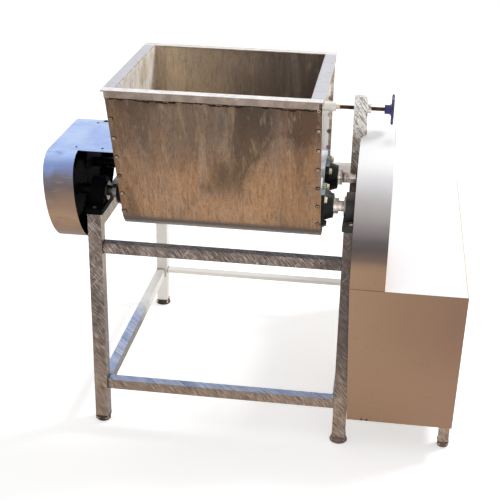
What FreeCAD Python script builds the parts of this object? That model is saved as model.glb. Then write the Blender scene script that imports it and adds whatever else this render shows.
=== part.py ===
import FreeCAD, Part
import math
import os
import re
import Sketcher
from FreeCAD import Placement, Rotation, Vector

# Flour mixer: a tilting steel trough with two paddle shafts, hung on the front shaft between two
# pillow blocks on a tube frame, with timing gears on the left and the drive in a cabinet on the
# right. Millimetres, +Z up, X along the shafts, -Y the side where the flour is tipped out.
# Heights are above the floor. X and Y are given from the middle of the four frame legs, and the
# row origin is under the middle of the whole machine.

SIZES = {
    # frame of square tube
    "frame_width": 745, "frame_depth": 832, "leg_top": 665, "leg_tube": 38, "tube_wall": 2,
    "bar_tube": 30, "bar_setback": 8, "top_bar_top": 580, "low_bar_top": 142, "flat_bar": 12,
    "rear_inset": 14, "foot_radius": 26, "plain_foot": 21, "cabinet_foot": 17, "foot_thick": 8,
    "seat_plate": 4, "seat_margin": 2,
    # trough
    "shaft_setback": 76, "pillow_rise": 45, "shaft_radius": 15, "shaft_gap": 160,
    "gear_module": 6, "gear_teeth": 27, "gear_width": 30, "tooth_root": 1.5,
    "tooth_below": 7.5, "tooth_above": 5.4, "tooth_low_half": 6.6, "tooth_top_half": 2.28,
    "trough_radius": 82, "trough_sheet": 2, "wall_lean": 21.5, "pan_depth": 29, "end_sheet": 3,
    "rim_gap": 97.5, "trough_rise": 360, "rim_width": 30, "rim_drop": 18, "rim_sheet": 3,
    "rim_front_lip": 21, "rim_rear_lip": 22, "lip_inset": 9, "screw_radius": 5, "screw_thick": 3,
    "screw_inset": 8, "screw_first": 11, "screw_last": 6, "front_screws": 7, "back_screws": 7,
    "shelf_screw": 3,
    # bearings
    "pad_thick": 20, "pad_reach": 54, "flange_half": 50, "flange_thick": 12, "flange_corner": 16,
    "nose_length": 23, "nose_base": 41, "nose_tip": 33, "insert_radius": 27, "insert_length": 36,
    "bolt_offset": 36, "bolt_radius": 5, "bolt_fit": 0.2, "head_radius": 9, "head_thick": 7,
    "running_fit": 0.05, "bore_room": 1, "collar_radius": 22, "collar_length": 12,
    "seal_radius": 26, "seal_thick": 3, "seal_fit": 0.3, "nipple_radius": 3, "nipple_length": 12,
    "pillow_length": 152, "pillow_width": 48, "pillow_base": 15, "pillow_shell": 40,
    "pillow_body": 38, "pillow_bolt": 62,
    # paddles
    "paddle_count": 5, "paddle_pitch": 88, "paddle_hub": 24, "paddle_hub_length": 30,
    "arm_radius": 8, "blade_low": 38, "blade_tip": 74, "blade_root": 6, "blade_width": 46,
    "blade_thick": 8, "blade_angle": 35,
    # gear side
    "gear_gap": 42.5, "gear_hub": 30, "hub_step": 0.5, "shaft_spare": 7,
    "guard_gap": 10.5, "guard_width": 82, "guard_sheet": 1.5, "guard_rise": 147,
    "guard_corner": 61, "guard_reach": 158, "guard_front_radius": 250, "guard_turn": 235,
    "guard_low_radius": 100, "shelf_reach": 97, "shelf_flange": 24, "shelf_inset": 12,
    # lock
    "post_setback": 184, "post_spare": 24, "post_cap": 4, "lock_rise": 220,
    "boss_length": 37, "boss_radius": 14, "lock_gap": 0.3, "tip_radius": 7, "tip_length": 11, "screw_rod": 6,
    "screw_reach": 63.5, "thread_fit": 0.3, "nut_radius": 14, "nut_length": 10,
    "wheel_radius": 38, "wheel_rim": 6, "wheel_web": 5, "wheel_hub": 13, "wheel_hub_length": 23,
    # drive side
    "drive_gap": 41.5, "sprocket_width": 7, "sprocket_hub": 20, "shaft_room": 3,
    "rear_stub": 38, "chain_pitch": 12.7, "mixer_teeth": 21, "counter_teeth": 13,
    "tooth_height": 5, "chain_gap": 0.4, "chain_height": 8, "counter_rise": 198,
    "counter_radius": 15, "counter_inset": 1, "counter_spare": 10, "stand_gap": 5.5,
    "stand_thick": 8, "stand_half": 60, "stand_rise": 60, "stand_room": 14, "pulley_gap": 7,
    "pulley_width": 24, "pulley_radius": 150, "pulley_rim": 22, "pulley_web": 8,
    "pulley_hub": 34, "motor_pulley": 40, "groove": 8, "groove_width": 9, "belt": 7,
    "belt_width": 7.6, "belt_gap": 0.4,
    "motor_setback": 300, "motor_rise": 108, "motor_radius": 80, "motor_room": 30,
    "motor_length": 140, "motor_shaft": 12, "motor_foot": 70, "motor_foot_thick": 10,
    "motor_neck": 42, "motor_inset": 15, "motor_box": 70, "motor_box_rise": 30,
    "fan_cover": 36, "fan_sheet": 2, "fan_radius": 62, "fan_thick": 12, "fan_gap": 8,
    # covers on the drive side
    "cover_sheet": 1.5, "cover_reach": 14, "cover_rear_reach": 84, "cover_drop": 48,
    "cover_head": 18, "cover_low_gap": 2.5, "cover_top_lap": 12.5, "cover_room": 16,
    "cover_flare": 9, "hood_side": 5, "hood_rise": 152, "hood_radius": 250, "hood_depth": 230,
    "hood_cut": 55, "hood_room": 3, "pillow_room": 6, "base_plate": 6, "cabinet_tube": 30,
    "cabinet_rear_inset": 60, "cabinet_front_inset": 42, "hole_radius": 2.5, "hole_gap": 15,
    "hole_inset": 42, "hole_up": 4,
}

# Places that follow from the sizes. Each word stands for its expression wherever it is used.
PLACES = {
    "half_width": "frame_width / 2",
    "half_depth": "frame_depth / 2",
    "rear_edge": "half_width - rear_inset",
    "centres": "gear_module * gear_teeth",
    "shaft_y": "shaft_setback - half_depth",
    "shaft_z": "leg_top + seat_plate + pillow_rise",
    "pillow_x": "half_width - leg_tube / 2",
    "rim_top": "shaft_z + trough_rise",
    "rim_half": "half_width - rim_gap",
    "web_inside": "rim_half - rim_sheet - pan_depth",
    "gear_x": "half_width + gear_gap",
    "shaft_left": "gear_x + gear_width + shaft_spare",
    "guard_inner": "half_width + guard_gap",
    "guard_outer": "guard_inner + guard_width",
    "guard_top": "shaft_z + guard_rise",
    "guard_front": "shaft_y - guard_reach",
    "shelf_front": "shaft_y - shelf_reach",
    "post_y": "shaft_y + post_setback",
    "lock_z": "shaft_z + lock_rise",
    "post_top": "lock_z + post_spare",
    "screw_end": "half_width + nut_length + screw_reach",
    "drive_left": "half_width + drive_gap",
    "shaft_right": "drive_left + sprocket_width + shaft_room",
    "counter_y": "shaft_y + shaft_gap",
    "counter_z": "low_bar_top + counter_rise",
    "stand_x": "half_width + stand_gap",
    "stand_top": "counter_z + stand_rise",
    "pulley_x": "drive_left + sprocket_width + pulley_gap",
    "stand_two_x": "pulley_x + pulley_width + stand_room",
    "counter_start": "stand_x + counter_inset",
    "counter_end": "stand_two_x + stand_thick + 2 * flange_thick + counter_spare",
    "motor_y": "counter_y + motor_setback",
    "motor_z": "low_bar_top + base_plate + motor_rise",
    "motor_start": "pulley_x + pulley_width + motor_room",
    "cover_front": "-(half_depth + cover_reach)",
    "cover_back": "half_depth + cover_rear_reach",
    "cover_low": "low_bar_top - cover_drop",
    "cover_top": "counter_z + pulley_radius + cover_head",
    "cover_left_low": "half_width + cover_low_gap",
    "cover_left_top": "half_width - cover_top_lap",
    "cover_right_low": "motor_start + motor_length + fan_cover + cover_room",
    "cover_right_top": "cover_right_low + cover_flare",
    "hood_right": "pulley_x + pulley_width + hood_side",
    "hood_top": "shaft_z + hood_rise",
    "hood_back": "shaft_y + hood_depth",
    "cabinet_leg_back": "cover_back - cabinet_rear_inset",
    "cabinet_leg_front": "cover_front + cabinet_front_inset",
    "hole_x": "cover_left_low + hole_inset",
}

doc = FreeCAD.newDocument("flour_mixer")
sheet = doc.addObject("Spreadsheet::Sheet", "sizes")
for row, (word, value) in enumerate(SIZES.items(), start=1):
    sheet.set(f"A{row}", word)
    sheet.set(f"B{row}", str(value))
    sheet.setAlias(f"B{row}", word)
doc.recompute()

WORD = re.compile(r"[a-z][a-z_]*")
CENTRES = "centres"
RISE = "sqrt(centres ^ 2 - shaft_gap ^ 2)"
REAR_Y = "(shaft_y + shaft_gap)"
REAR_Z = f"(shaft_z + {RISE})"
LINE_COS = "(shaft_gap / centres)"
LINE_SIN = f"({RISE} / centres)"
SHEET_TOP = "(rim_top - rim_sheet)"
SHEET_HALF = "(rim_half - rim_sheet)"
OUTER_RADIUS = "(trough_radius + trough_sheet)"
LOW_WALL = f"(shaft_z - {OUTER_RADIUS} * sin(wall_lean))"
PAD_FACE = "(web_inside + end_sheet + pad_thick)"
SEAT_TOP = "(leg_top + seat_plate)"
FRAME_SIDES = ((-1, "left"), (1, "right"))


def bound(text):
    """The expression with places written out and each word of the sheet given its name."""
    def written(match):
        word = match.group()
        if word in PLACES:
            return f"({bound(PLACES[word])})"
        return f"sizes.{word}" if word in SIZES else word

    return WORD.sub(written, text)


def number(text):
    """The present value of an expression."""
    return float(sheet.evalExpression(bound(str(text))))


def wall_y(radius, height):
    """Y of the leaning front wall, tangent to a round of this radius about the front shaft."""
    start = f"shaft_y - ({radius}) * cos(wall_lean)"
    rise = f"({height}) - shaft_z + ({radius}) * sin(wall_lean)"
    return f"({start} - ({rise}) * tan(wall_lean))"


RIM_FRONT = f"({wall_y(OUTER_RADIUS, SHEET_TOP)} - rim_front_lip)"
ORIGIN_X = "((cover_right_top - guard_outer) / 2)"
ORIGIN_Y = f"((cover_back + {RIM_FRONT}) / 2)"


def bind(thing, **sizes):
    for name, text in sizes.items():
        thing.setExpression(name, bound(str(text)))


def place(thing, x, y, z, turn=None):
    """Puts a piece at X and Y from the middle of the legs and Z above the floor."""
    if turn:
        thing.Placement = Placement(Vector(), turn)
    thing.setExpression("Placement.Base.x", bound(f"{x} - {ORIGIN_X}"))
    thing.setExpression("Placement.Base.y", bound(f"{y} - {ORIGIN_Y}"))
    thing.setExpression("Placement.Base.z", bound(str(z)))
    return thing


ALONG = {
    "Z": Rotation(),
    "X": Rotation(Vector(0, 1, 0), 90),
    "-X": Rotation(Vector(0, 1, 0), -90),
    "Y": Rotation(Vector(1, 0, 0), -90),
}
PLANES = {
    "XY": Rotation(),
    "YZ": Rotation(Vector(0, 1, 0), Vector(0, 0, 1), Vector(1, 0, 0), "ZXY"),
    "XZ": Rotation(Vector(1, 0, 0), Vector(0, 0, 1), Vector(0, -1, 0), "ZXY"),
}
nodes = []


def node(thing, label):
    """Marks an object as a sub-part, under the name of its file."""
    thing.Label = label
    nodes.append(thing)
    return thing


def box(x, y, z, length, width, height, name="block"):
    block = doc.addObject("Part::Box", name)
    bind(block, Length=length, Width=width, Height=height)
    return place(block, x, y, z)


def rod(axis, radius, length, x, y, z, name="rod"):
    bar = doc.addObject("Part::Cylinder", name)
    bind(bar, Radius=radius, Height=length)
    return place(bar, x, y, z, ALONG[axis])


def cone(axis, first, second, length, x, y, z, name="cone"):
    taper = doc.addObject("Part::Cone", name)
    bind(taper, Radius1=first, Radius2=second, Height=length)
    return place(taper, x, y, z, ALONG[axis])


def hexagon(axis, radius, length, x, y, z, name="hexagon"):
    head = doc.addObject("Part::Prism", name)
    head.Polygon = 6
    bind(head, Circumradius=radius, Height=length)
    return place(head, x, y, z, ALONG[axis])


def join(parts, name="joined"):
    whole = doc.addObject("Part::MultiFuse", name)
    whole.Shapes = parts
    whole.Refine = True
    return whole


def cut(base, tools, name="cut"):
    result = doc.addObject("Part::Cut", name)
    result.Base = base
    result.Tool = tools[0] if len(tools) == 1 else join(tools)
    return result


def group(parts, name="group"):
    whole = doc.addObject("Part::Compound", name)
    whole.Links = parts
    return whole


def ring(axis, outer, inner, length, x, y, z, name="ring"):
    return cut(rod(axis, outer, length, x, y, z), [rod(axis, inner, length, x, y, z)], name)


def origin_plane(body, role):
    return next(plane for plane in body.Origin.OriginFeatures if plane.Role == role)


def new_sketch(body, name="sketch"):
    sketch = body.newObject("Sketcher::SketchObject", name)
    sketch.AttachmentSupport = [(origin_plane(body, "XY_Plane"), "")]
    sketch.MapMode = "FlatFace"
    return sketch


def draw_outline(sketch, points):
    """A closed outline of straight lines whose corners are bound to the sheet."""
    corners = [Vector(number(u), number(v), 0) for u, v in points]
    count = len(corners)
    for k in range(count):
        sketch.addGeometry(Part.LineSegment(corners[k], corners[(k + 1) % count]), False)
    for k in range(count):
        sketch.addConstraint(Sketcher.Constraint("Coincident", k, 2, (k + 1) % count, 1))
    for k, (u, v) in enumerate(points):
        for kind, text, value in (("DistanceX", u, corners[k].x), ("DistanceY", v, corners[k].y)):
            index = sketch.addConstraint(Sketcher.Constraint(kind, -1, 1, k, 1, value))
            sketch.setExpression(f"Constraints[{index}]", bound(str(text)))


def draw_circle(sketch, radius):
    at_centre = Part.Circle(Vector(), Vector(0, 0, 1), number(radius))
    first = sketch.addGeometry(at_centre, False)
    sketch.addConstraint(Sketcher.Constraint("Coincident", first, 3, -1, 1))
    index = sketch.addConstraint(Sketcher.Constraint("Radius", first, number(radius)))
    sketch.setExpression(f"Constraints[{index}]", bound(str(radius)))


def pad(body, sketch, length, kind="PartDesign::Pad"):
    feature = body.newObject(kind, kind.split("::")[1])
    feature.Profile = sketch
    bind(feature, Length=length)
    sketch.Visibility = False
    return feature


def prism(plane, points, length, x, y, z, name="prism"):
    """A pad of a straight-sided outline: YZ grows along +X, XZ along -Y, XY along +Z."""
    body = doc.addObject("PartDesign::Body", name)
    sketch = new_sketch(body)
    draw_outline(sketch, points)
    pad(body, sketch, length)
    return place(body, x, y, z, PLANES[plane])


def tube(axis, width, height, wall, length, x, y, z, name="tube"):
    """A rectangular tube from its low corner. Width lies on the first axis across its length."""
    body = doc.addObject("PartDesign::Body", name)
    sketch = new_sketch(body)
    for inset in ("0", wall):
        far_u = f"({width}) - ({inset})"
        far_v = f"({height}) - ({inset})"
        corners = [(inset, inset), (far_u, inset), (far_u, far_v), (inset, far_v)]
        draw_inset(sketch, corners)
    pad(body, sketch, length)
    turn = {"Z": PLANES["XY"], "X": PLANES["YZ"], "Y": PLANES["XZ"]}[axis]
    if axis == "Y":
        y = f"{y} + ({length})"
    return place(body, x, y, z, turn)


def draw_inset(sketch, points):
    """One closed rectangle of a tube section, bound to the sheet."""
    first = sketch.GeometryCount
    corners = [Vector(number(u), number(v), 0) for u, v in points]
    for k in range(4):
        sketch.addGeometry(Part.LineSegment(corners[k], corners[(k + 1) % 4]), False)
    for k in range(4):
        sketch.addConstraint(Sketcher.Constraint("Coincident", first + k, 2, first + (k + 1) % 4, 1))
        sketch.addConstraint(Sketcher.Constraint("Vertical" if k % 2 else "Horizontal", first + k))
    for k, kind in ((0, "DistanceX"), (0, "DistanceY"), (2, "DistanceX"), (2, "DistanceY")):
        u, v = points[k]
        text = u if kind == "DistanceX" else v
        value = number(text)
        if abs(value) < TOUCHING:
            side = "PointOnObject"
            axis = -2 if kind == "DistanceX" else -1
            sketch.addConstraint(Sketcher.Constraint(side, first + k, 1, axis))
            continue
        index = sketch.addConstraint(Sketcher.Constraint(kind, -1, 1, first + k, 1, value))
        sketch.setExpression(f"Constraints[{index}]", bound(str(text)))


def along_line(u, v):
    """A point in Y and Z, u along the line from the front to the rear shaft and v across it."""
    y = f"(shaft_y + ({u}) * {LINE_COS} - ({v}) * {LINE_SIN})"
    z = f"(shaft_z + ({u}) * {LINE_SIN} + ({v}) * {LINE_COS})"
    return y, z


def line_degrees():
    """How far the line from the front to the rear shaft rises from the level."""
    return math.degrees(math.atan2(number(RISE), number("shaft_gap")))


def side_x(side, near, far):
    """Where a piece between two distances from the middle starts, and how long it is."""
    start = f"({near})" if side > 0 else f"-({far})"
    return start, f"(({far}) - ({near}))"


def turned(side):
    return "X" if side > 0 else "-X"


def facing_x(side, near):
    return f"({near})" if side > 0 else f"-({near})"


SHAFTS = (("front", "0"), ("rear", CENTRES))
# ends of lines nearer than this are one point
TOUCHING = 1e-6
# how far a cutting solid runs past the face that it opens
SPARE = "5"
FULL_TURN = 360
HALF_TURN = 180


def make_frame():
    leg_height = "leg_top - foot_thick"
    rails = []
    low_bars = []
    for side, side_name in FRAME_SIDES:
        x, _ = side_x(side, "half_width - leg_tube", "half_width")
        rear_x, _ = side_x(side, "rear_edge - leg_tube", "rear_edge")
        for end, leg_x, y in (("front", x, "-half_depth"),
                              ("rear", rear_x, "half_depth - leg_tube")):
            leg = tube("Z", "leg_tube", "leg_tube", "tube_wall", leg_height, leg_x, y,
                       "foot_thick")
            node(leg, f"{end}_{side_name}_leg")
        gap = "frame_depth - 2 * leg_tube"
        rail = tube("Y", "leg_tube", "leg_tube", "tube_wall", gap, x,
                    "-half_depth + leg_tube", "leg_top - leg_tube")
        rails.append(rail)
        bar_x, _ = side_x(side, "rear_edge - bar_tube", "rear_edge")
        low_bars.append(tube("Y", "bar_tube", "bar_tube", "tube_wall", gap, bar_x,
                             "-half_depth + leg_tube", "low_bar_top - bar_tube"))
    node(group(rails), "side_top_rails")
    node(group(low_bars), "side_bottom_bars")
    width = "frame_width - 2 * leg_tube"
    start = "-half_width + leg_tube"
    front = "-half_depth + bar_setback"
    back = "half_depth - bar_setback - bar_tube"
    square = ("bar_tube", "bar_tube", "tube_wall", width, start)
    node(tube("X", *square, front, "top_bar_top - bar_tube"), "front_top_bar")
    node(tube("X", *square, front, "low_bar_top - bar_tube"), "front_bottom_bar")
    rear_width = "2 * (rear_edge - leg_tube)"
    rear_start = "-rear_edge + leg_tube"
    high = tube("X", "bar_tube", "bar_tube", "tube_wall", rear_width, rear_start, back,
                "top_bar_top - bar_tube")
    low = tube("X", "bar_tube", "flat_bar", "tube_wall", rear_width, rear_start, back,
               "low_bar_top - flat_bar")
    node(group([high, low]), "rear_bars")
    feet = []
    for edge, y in (("half_width", "-half_depth + leg_tube / 2"),
                    ("rear_edge", "half_depth - leg_tube / 2")):
        for side, _ in FRAME_SIDES:
            radius = "foot_radius" if feet else "plain_foot"
            x = facing_x(side, f"{edge} - leg_tube / 2")
            feet.append(rod("Z", radius, "foot_thick", x, y, "0"))
    cabinet_x = "cover_right_low - cover_sheet - cabinet_tube / 2"
    for y in ("cabinet_leg_front + cabinet_tube / 2", "cabinet_leg_back + cabinet_tube / 2"):
        feet.append(rod("Z", "cabinet_foot", "foot_thick", cabinet_x, y, "0"))
    node(group(feet), "feet")
    seats = []
    for x in ("-half_width", "half_width - leg_tube"):
        seats.append(box(x, "shaft_y - pillow_length / 2 - seat_margin", "leg_top",
                         "leg_tube", "pillow_length + 2 * seat_margin", "seat_plate"))
    node(group(seats), "pillow_seats")


def make_pillow_blocks():
    inserts = []
    bolts = []
    for side, side_name in FRAME_SIDES:
        centre = facing_x(side, "pillow_x")
        base = box(f"{centre} - pillow_width / 2", "shaft_y - pillow_length / 2", SEAT_TOP,
                   "pillow_width", "pillow_length", "pillow_base")
        shell = rod("X", "pillow_shell", "pillow_body", f"{centre} - pillow_body / 2",
                    "shaft_y", "shaft_z")
        foot = box(f"{centre} - pillow_body / 2", "shaft_y - pillow_shell", SEAT_TOP,
                   "pillow_body", "2 * pillow_shell", f"shaft_z - {SEAT_TOP}")
        bore = rod("X", "insert_radius", "pillow_width", f"{centre} - pillow_width / 2",
                   "shaft_y", "shaft_z")
        tools = [bore]
        for way in ("-", "+"):
            y = f"shaft_y {way} pillow_bolt"
            tools.append(rod("Z", "bolt_radius + bolt_fit", "pillow_base", centre, y, SEAT_TOP))
            bolts.append(hexagon("Z", "head_radius", "head_thick", centre, y,
                                 f"{SEAT_TOP} + pillow_base"))
        housing = cut(join([base, shell, foot]), tools)
        node(housing, f"{side_name}_pillow_block")
        inserts.append(ring("X", "insert_radius", "shaft_radius + running_fit", "pillow_width",
                            f"{centre} - pillow_width / 2", "shaft_y", "shaft_z"))
    node(group(inserts), "pillow_inserts")
    node(group(bolts), "pillow_bolts")


def trough_form(radius, x, length, top, name="form"):
    """The trough's cross-section as a solid: leaning front, two rounds and an upright back."""
    low_y = f"(shaft_y - ({radius}) * cos(wall_lean))"
    low_z = f"(shaft_z - ({radius}) * sin(wall_lean))"
    back = f"({REAR_Y} + ({radius}))"
    points = [(wall_y(radius, top), top), (low_y, low_z), ("shaft_y", "shaft_z"),
              (REAR_Y, REAR_Z), (back, REAR_Z), (back, top)]
    slab = prism("YZ", points, length, x, "0", "0")
    front = rod("X", radius, length, x, "shaft_y", "shaft_z")
    rear = rod("X", radius, length, x, REAR_Y, REAR_Z)
    return join([slab, front, rear], name)


def make_trough():
    outer = trough_form(OUTER_RADIUS, f"-{SHEET_HALF}", f"2 * {SHEET_HALF}", SHEET_TOP)
    inner = trough_form("trough_radius", f"-{SHEET_HALF} - {SPARE}",
                        f"2 * ({SHEET_HALF} + {SPARE})", f"{SHEET_TOP} + {SPARE}")
    node(cut(outer, [inner]), "trough_sheet")
    pads = []
    seals = []
    for side, side_name in FRAME_SIDES:
        x, length = side_x(side, "web_inside", SHEET_HALF)
        pan = trough_form("trough_radius", x, length, SHEET_TOP)
        x, length = side_x(side, "web_inside + end_sheet", f"{SHEET_HALF} + {SPARE}")
        hollow = trough_form("trough_radius - end_sheet", x, length, f"{SHEET_TOP} + {SPARE}")
        x, length = side_x(side, f"web_inside - {SPARE}", f"web_inside + end_sheet + {SPARE}")
        holes = [rod("X", "shaft_radius + bore_room", length, x, *along_line(u, "0"))
                 for _, u in SHAFTS]
        node(cut(pan, [hollow] + holes), f"{side_name}_end_plate")
        pads += make_bearing_pads(side)
        x, length = side_x(side, "web_inside - seal_thick", "web_inside")
        for _, u in SHAFTS:
            seals.append(ring("X", "seal_radius", "shaft_radius + seal_fit", length, x,
                              *along_line(u, "0")))
    node(group(pads), "bearing_pads")
    node(group(seals), "shaft_seals")
    make_rim()
    make_sheet_screws()


def bolt_places(u):
    return [along_line(f"{u} {a} bolt_offset", f"{b}bolt_offset")
            for a in ("-", "+") for b in ("-", "")]


def make_bearing_pads(side):
    """A thick square pad between the end plate and each flange bearing."""
    x, length = side_x(side, "web_inside + end_sheet", PAD_FACE)
    pads = []
    for _, u in SHAFTS:
        corners = [along_line(f"{u} {a} pad_reach", f"{b}pad_reach")
                   for a, b in (("-", "-"), ("+", "-"), ("+", ""), ("-", ""))]
        slab = prism("YZ", corners, length, x, "0", "0")
        tools = [rod("X", "shaft_radius + bore_room", length, x, *along_line(u, "0"))]
        tools += [rod("X", "bolt_radius + bolt_fit", length, x, y, z) for y, z in bolt_places(u)]
        pads.append(cut(slab, tools))
    return pads


def make_rim():
    ends = "-rim_half"
    back = f"({REAR_Y} + {OUTER_RADIUS} + rim_rear_lip)"
    top = SHEET_TOP
    drop = "rim_drop - rim_sheet"
    low = "rim_top - rim_drop"
    for name, y, lip_y in (("front", RIM_FRONT, RIM_FRONT),
                           ("rear", f"{back} - rim_width", f"{back} - rim_sheet")):
        flat = box(ends, y, top, "2 * rim_half", "rim_width", "rim_sheet")
        lip = box(f"{ends} + lip_inset", lip_y, low, "2 * (rim_half - lip_inset)", "rim_sheet",
                  drop)
        node(join([flat, lip]), f"{name}_rim")
    side_rims = []
    start = f"{RIM_FRONT} + rim_width"
    run = f"({back}) - ({RIM_FRONT}) - 2 * rim_width"
    for side, _ in FRAME_SIDES:
        x, length = side_x(side, "rim_half - rim_width", "rim_half")
        flat = box(x, start, top, length, run, "rim_sheet")
        x, length = side_x(side, "rim_half - rim_sheet", "rim_half")
        lip = box(x, start, low, length, run, drop)
        side_rims.append(join([flat, lip]))
    node(group(side_rims), "side_rims")


def screw_heights(count, lowest):
    """Even heights from just under the rim down to the lowest screw of a row."""
    top = "rim_top - rim_drop - screw_first"
    gaps = int(number(count)) - 1
    return [f"({top} - {k} / {gaps} * ({top} - ({lowest})))" for k in range(gaps + 1)]


def make_sheet_screws():
    """Pan heads down both ends of the leaning front wall and of the upright back wall."""
    heads = []
    back = f"({REAR_Y} + {OUTER_RADIUS})"
    slope = Rotation(Vector(1, 0, 0), 90 + number("wall_lean"))
    for side, _ in FRAME_SIDES:
        x = facing_x(side, f"{SHEET_HALF} - screw_inset")
        for height in screw_heights("front_screws", f"{LOW_WALL} + screw_last"):
            heads.append(place(rod("Z", "screw_radius", "screw_thick", "0", "0", "0"),
                               x, wall_y(OUTER_RADIUS, height), height, slope))
        for height in screw_heights("back_screws", f"{REAR_Z} + 2 * screw_last"):
            heads.append(rod("Y", "screw_radius", "screw_thick", x, back, height))
    for y in ("shelf_front + 2 * shelf_inset", f"{REAR_Y} - shelf_inset"):
        for x in ("-guard_inner - shelf_inset", "-guard_inner + 5 * shelf_inset"):
            heads.append(rod("Z", "shelf_screw", "screw_thick / 2", x, y, "guard_top"))
    node(group(heads), "trough_screws")


def make_flange_bearings():
    inserts = []
    bolts = []
    nipples = []
    half = "flange_half"
    low = "(flange_half - flange_corner)"
    upright = Rotation(Vector(1, 0, 0), line_degrees())
    for side, side_name in FRAME_SIDES:
        housings = []
        for _, u in SHAFTS:
            centre = along_line(u, "0")
            ring_points = [(f"-{low}", f"-{half}"), (low, f"-{half}"), (half, f"-{low}"),
                           (half, low), (low, half), (f"-{low}", half), (f"-{half}", low),
                           (f"-{half}", f"-{low}")]
            corners = [along_line(f"{u} + {a}", b) for a, b in ring_points]
            x, length = side_x(side, PAD_FACE, f"{PAD_FACE} + flange_thick")
            flange = prism("YZ", corners, length, x, "0", "0")
            nose_x = facing_x(side, f"{PAD_FACE} + flange_thick")
            nose = cone(turned(side), "nose_base", "nose_tip", "nose_length", nose_x, *centre)
            x, length = side_x(side, PAD_FACE, f"{PAD_FACE} + flange_thick + nose_length")
            tools = [rod("X", "insert_radius", length, x, *centre)]
            x, length = side_x(side, PAD_FACE, f"{PAD_FACE} + flange_thick")
            shank_x, shank = side_x(side, "web_inside + end_sheet", f"{PAD_FACE} + flange_thick")
            head_x, head = side_x(side, f"{PAD_FACE} + flange_thick",
                                  f"{PAD_FACE} + flange_thick + head_thick")
            for y, z in bolt_places(u):
                tools.append(rod("X", "bolt_radius + bolt_fit", length, x, y, z))
                bolts.append(join([rod("X", "bolt_radius", shank, shank_x, y, z),
                                   hexagon("X", "head_radius", head, head_x, y, z)]))
            housings.append(cut(join([flange, nose]), tools))
            x, length = side_x(side, PAD_FACE, f"{PAD_FACE} + insert_length")
            inserts.append(ring("X", "insert_radius", "shaft_radius + running_fit", length, x,
                                *centre))
            x = facing_x(side, f"{PAD_FACE} + flange_thick / 2")
            nipple = rod("Z", "nipple_radius", "nipple_length", "0", "0", "0")
            nipples.append(place(nipple, x, *along_line(u, "flange_half"), upright))
        node(group(housings), f"{side_name}_flange_bearings")
    node(group(inserts), "flange_inserts")
    node(group(bolts + nipples), "flange_bolts")


def make_paddles(shaft, u, first_turn):
    """Paddles clamped along one shaft, each a step of the turn on from the last."""
    centre = along_line(u, "0")
    count = int(number("paddle_count"))
    step = FULL_TURN / count
    paddles = []
    for k in range(count):
        middle = f"{k - (count - 1) / 2} * paddle_pitch"
        hub = rod("X", "paddle_hub", "paddle_hub_length", f"{middle} - paddle_hub_length / 2",
                  *centre)
        spoke = doc.addObject("Part::Cylinder", "spoke")
        bind(spoke, Radius="arm_radius", Height="blade_low")
        blade = doc.addObject("Part::Box", "blade")
        bind(blade, Length="blade_width", Width="blade_thick",
             Height="blade_tip - blade_low + blade_root")
        corner = Vector(-number("blade_width") / 2, -number("blade_thick") / 2,
                        number("blade_low - blade_root"))
        skew = Rotation(Vector(0, 0, 1), number("blade_angle") * (1 if k % 2 else -1))
        blade.Placement = Placement(skew.multVec(corner), skew)
        turn = Rotation(Vector(1, 0, 0), first_turn + k * step)
        arm = place(join([spoke, blade]), middle, *centre, turn)
        bore = rod("X", "shaft_radius", "paddle_hub_length",
                   f"{middle} - paddle_hub_length / 2", *centre)
        paddles.append(cut(join([hub, arm]), [bore]))
    node(group(paddles), f"{shaft}_paddles")


def toothed_wheel(teeth, root, tip, root_half, tip_half, width, bore, hub, hub_length):
    """A wheel on its own Z axis: root disc, one tooth turned into many, hub and bore."""
    body = doc.addObject("PartDesign::Body", "toothed")
    disc = new_sketch(body)
    draw_circle(disc, root)
    pad(body, disc, width)
    tooth = new_sketch(body)
    low = f"({root}) - tooth_root"
    draw_outline(tooth, [(low, f"-({root_half})"), (tip, f"-({tip_half})"), (tip, tip_half),
                         (low, root_half)])
    first = pad(body, tooth, width)
    doc.recompute()
    pattern = body.newObject("PartDesign::PolarPattern", "teeth")
    pattern.Originals = [first]
    pattern.Axis = (disc, ["N_Axis"])
    pattern.Angle = FULL_TURN
    bind(pattern, Occurrences=teeth)
    body.Tip = pattern
    boss = new_sketch(body)
    draw_circle(boss, hub)
    pad(body, boss, f"({width}) + ({hub_length})")
    hole = new_sketch(body)
    draw_circle(hole, bore)
    doc.recompute()
    before = body.Shape.Volume
    pocket = pad(body, hole, f"({width}) + ({hub_length})", "PartDesign::Pocket")
    pocket.Reversed = True
    body.Tip = pocket
    doc.recompute()
    if body.Shape.Volume >= before:
        raise RuntimeError("the bore cut nothing")
    return body


def wheel_turn(side, degrees):
    """Lays a wheel's own axis along X, its first tooth at this angle from +Y towards +Z."""
    if side > 0:
        return PLANES["YZ"].multiply(Rotation(Vector(0, 0, 1), degrees))
    mirrored = Rotation(Vector(0, 1, 0), Vector(0, 0, -1), Vector(-1, 0, 0), "ZXY")
    return mirrored.multiply(Rotation(Vector(0, 0, 1), -degrees))


def make_timing_gears():
    pitch = f"{CENTRES} / 2"
    line = line_degrees()
    step = FULL_TURN / number("gear_teeth")
    for shaft, u, degrees in (("front", "0", line), ("rear", CENTRES, line + HALF_TURN + step / 2)):
        gear = toothed_wheel("gear_teeth", f"{pitch} - tooth_below", f"{pitch} + tooth_above",
                             "tooth_low_half", "tooth_top_half", "gear_width", "shaft_radius",
                             "gear_hub", "hub_step")
        place(gear, "-gear_x", *along_line(u, "0"), wheel_turn(-1, degrees))
        node(gear, f"{shaft}_timing_gear")


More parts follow.
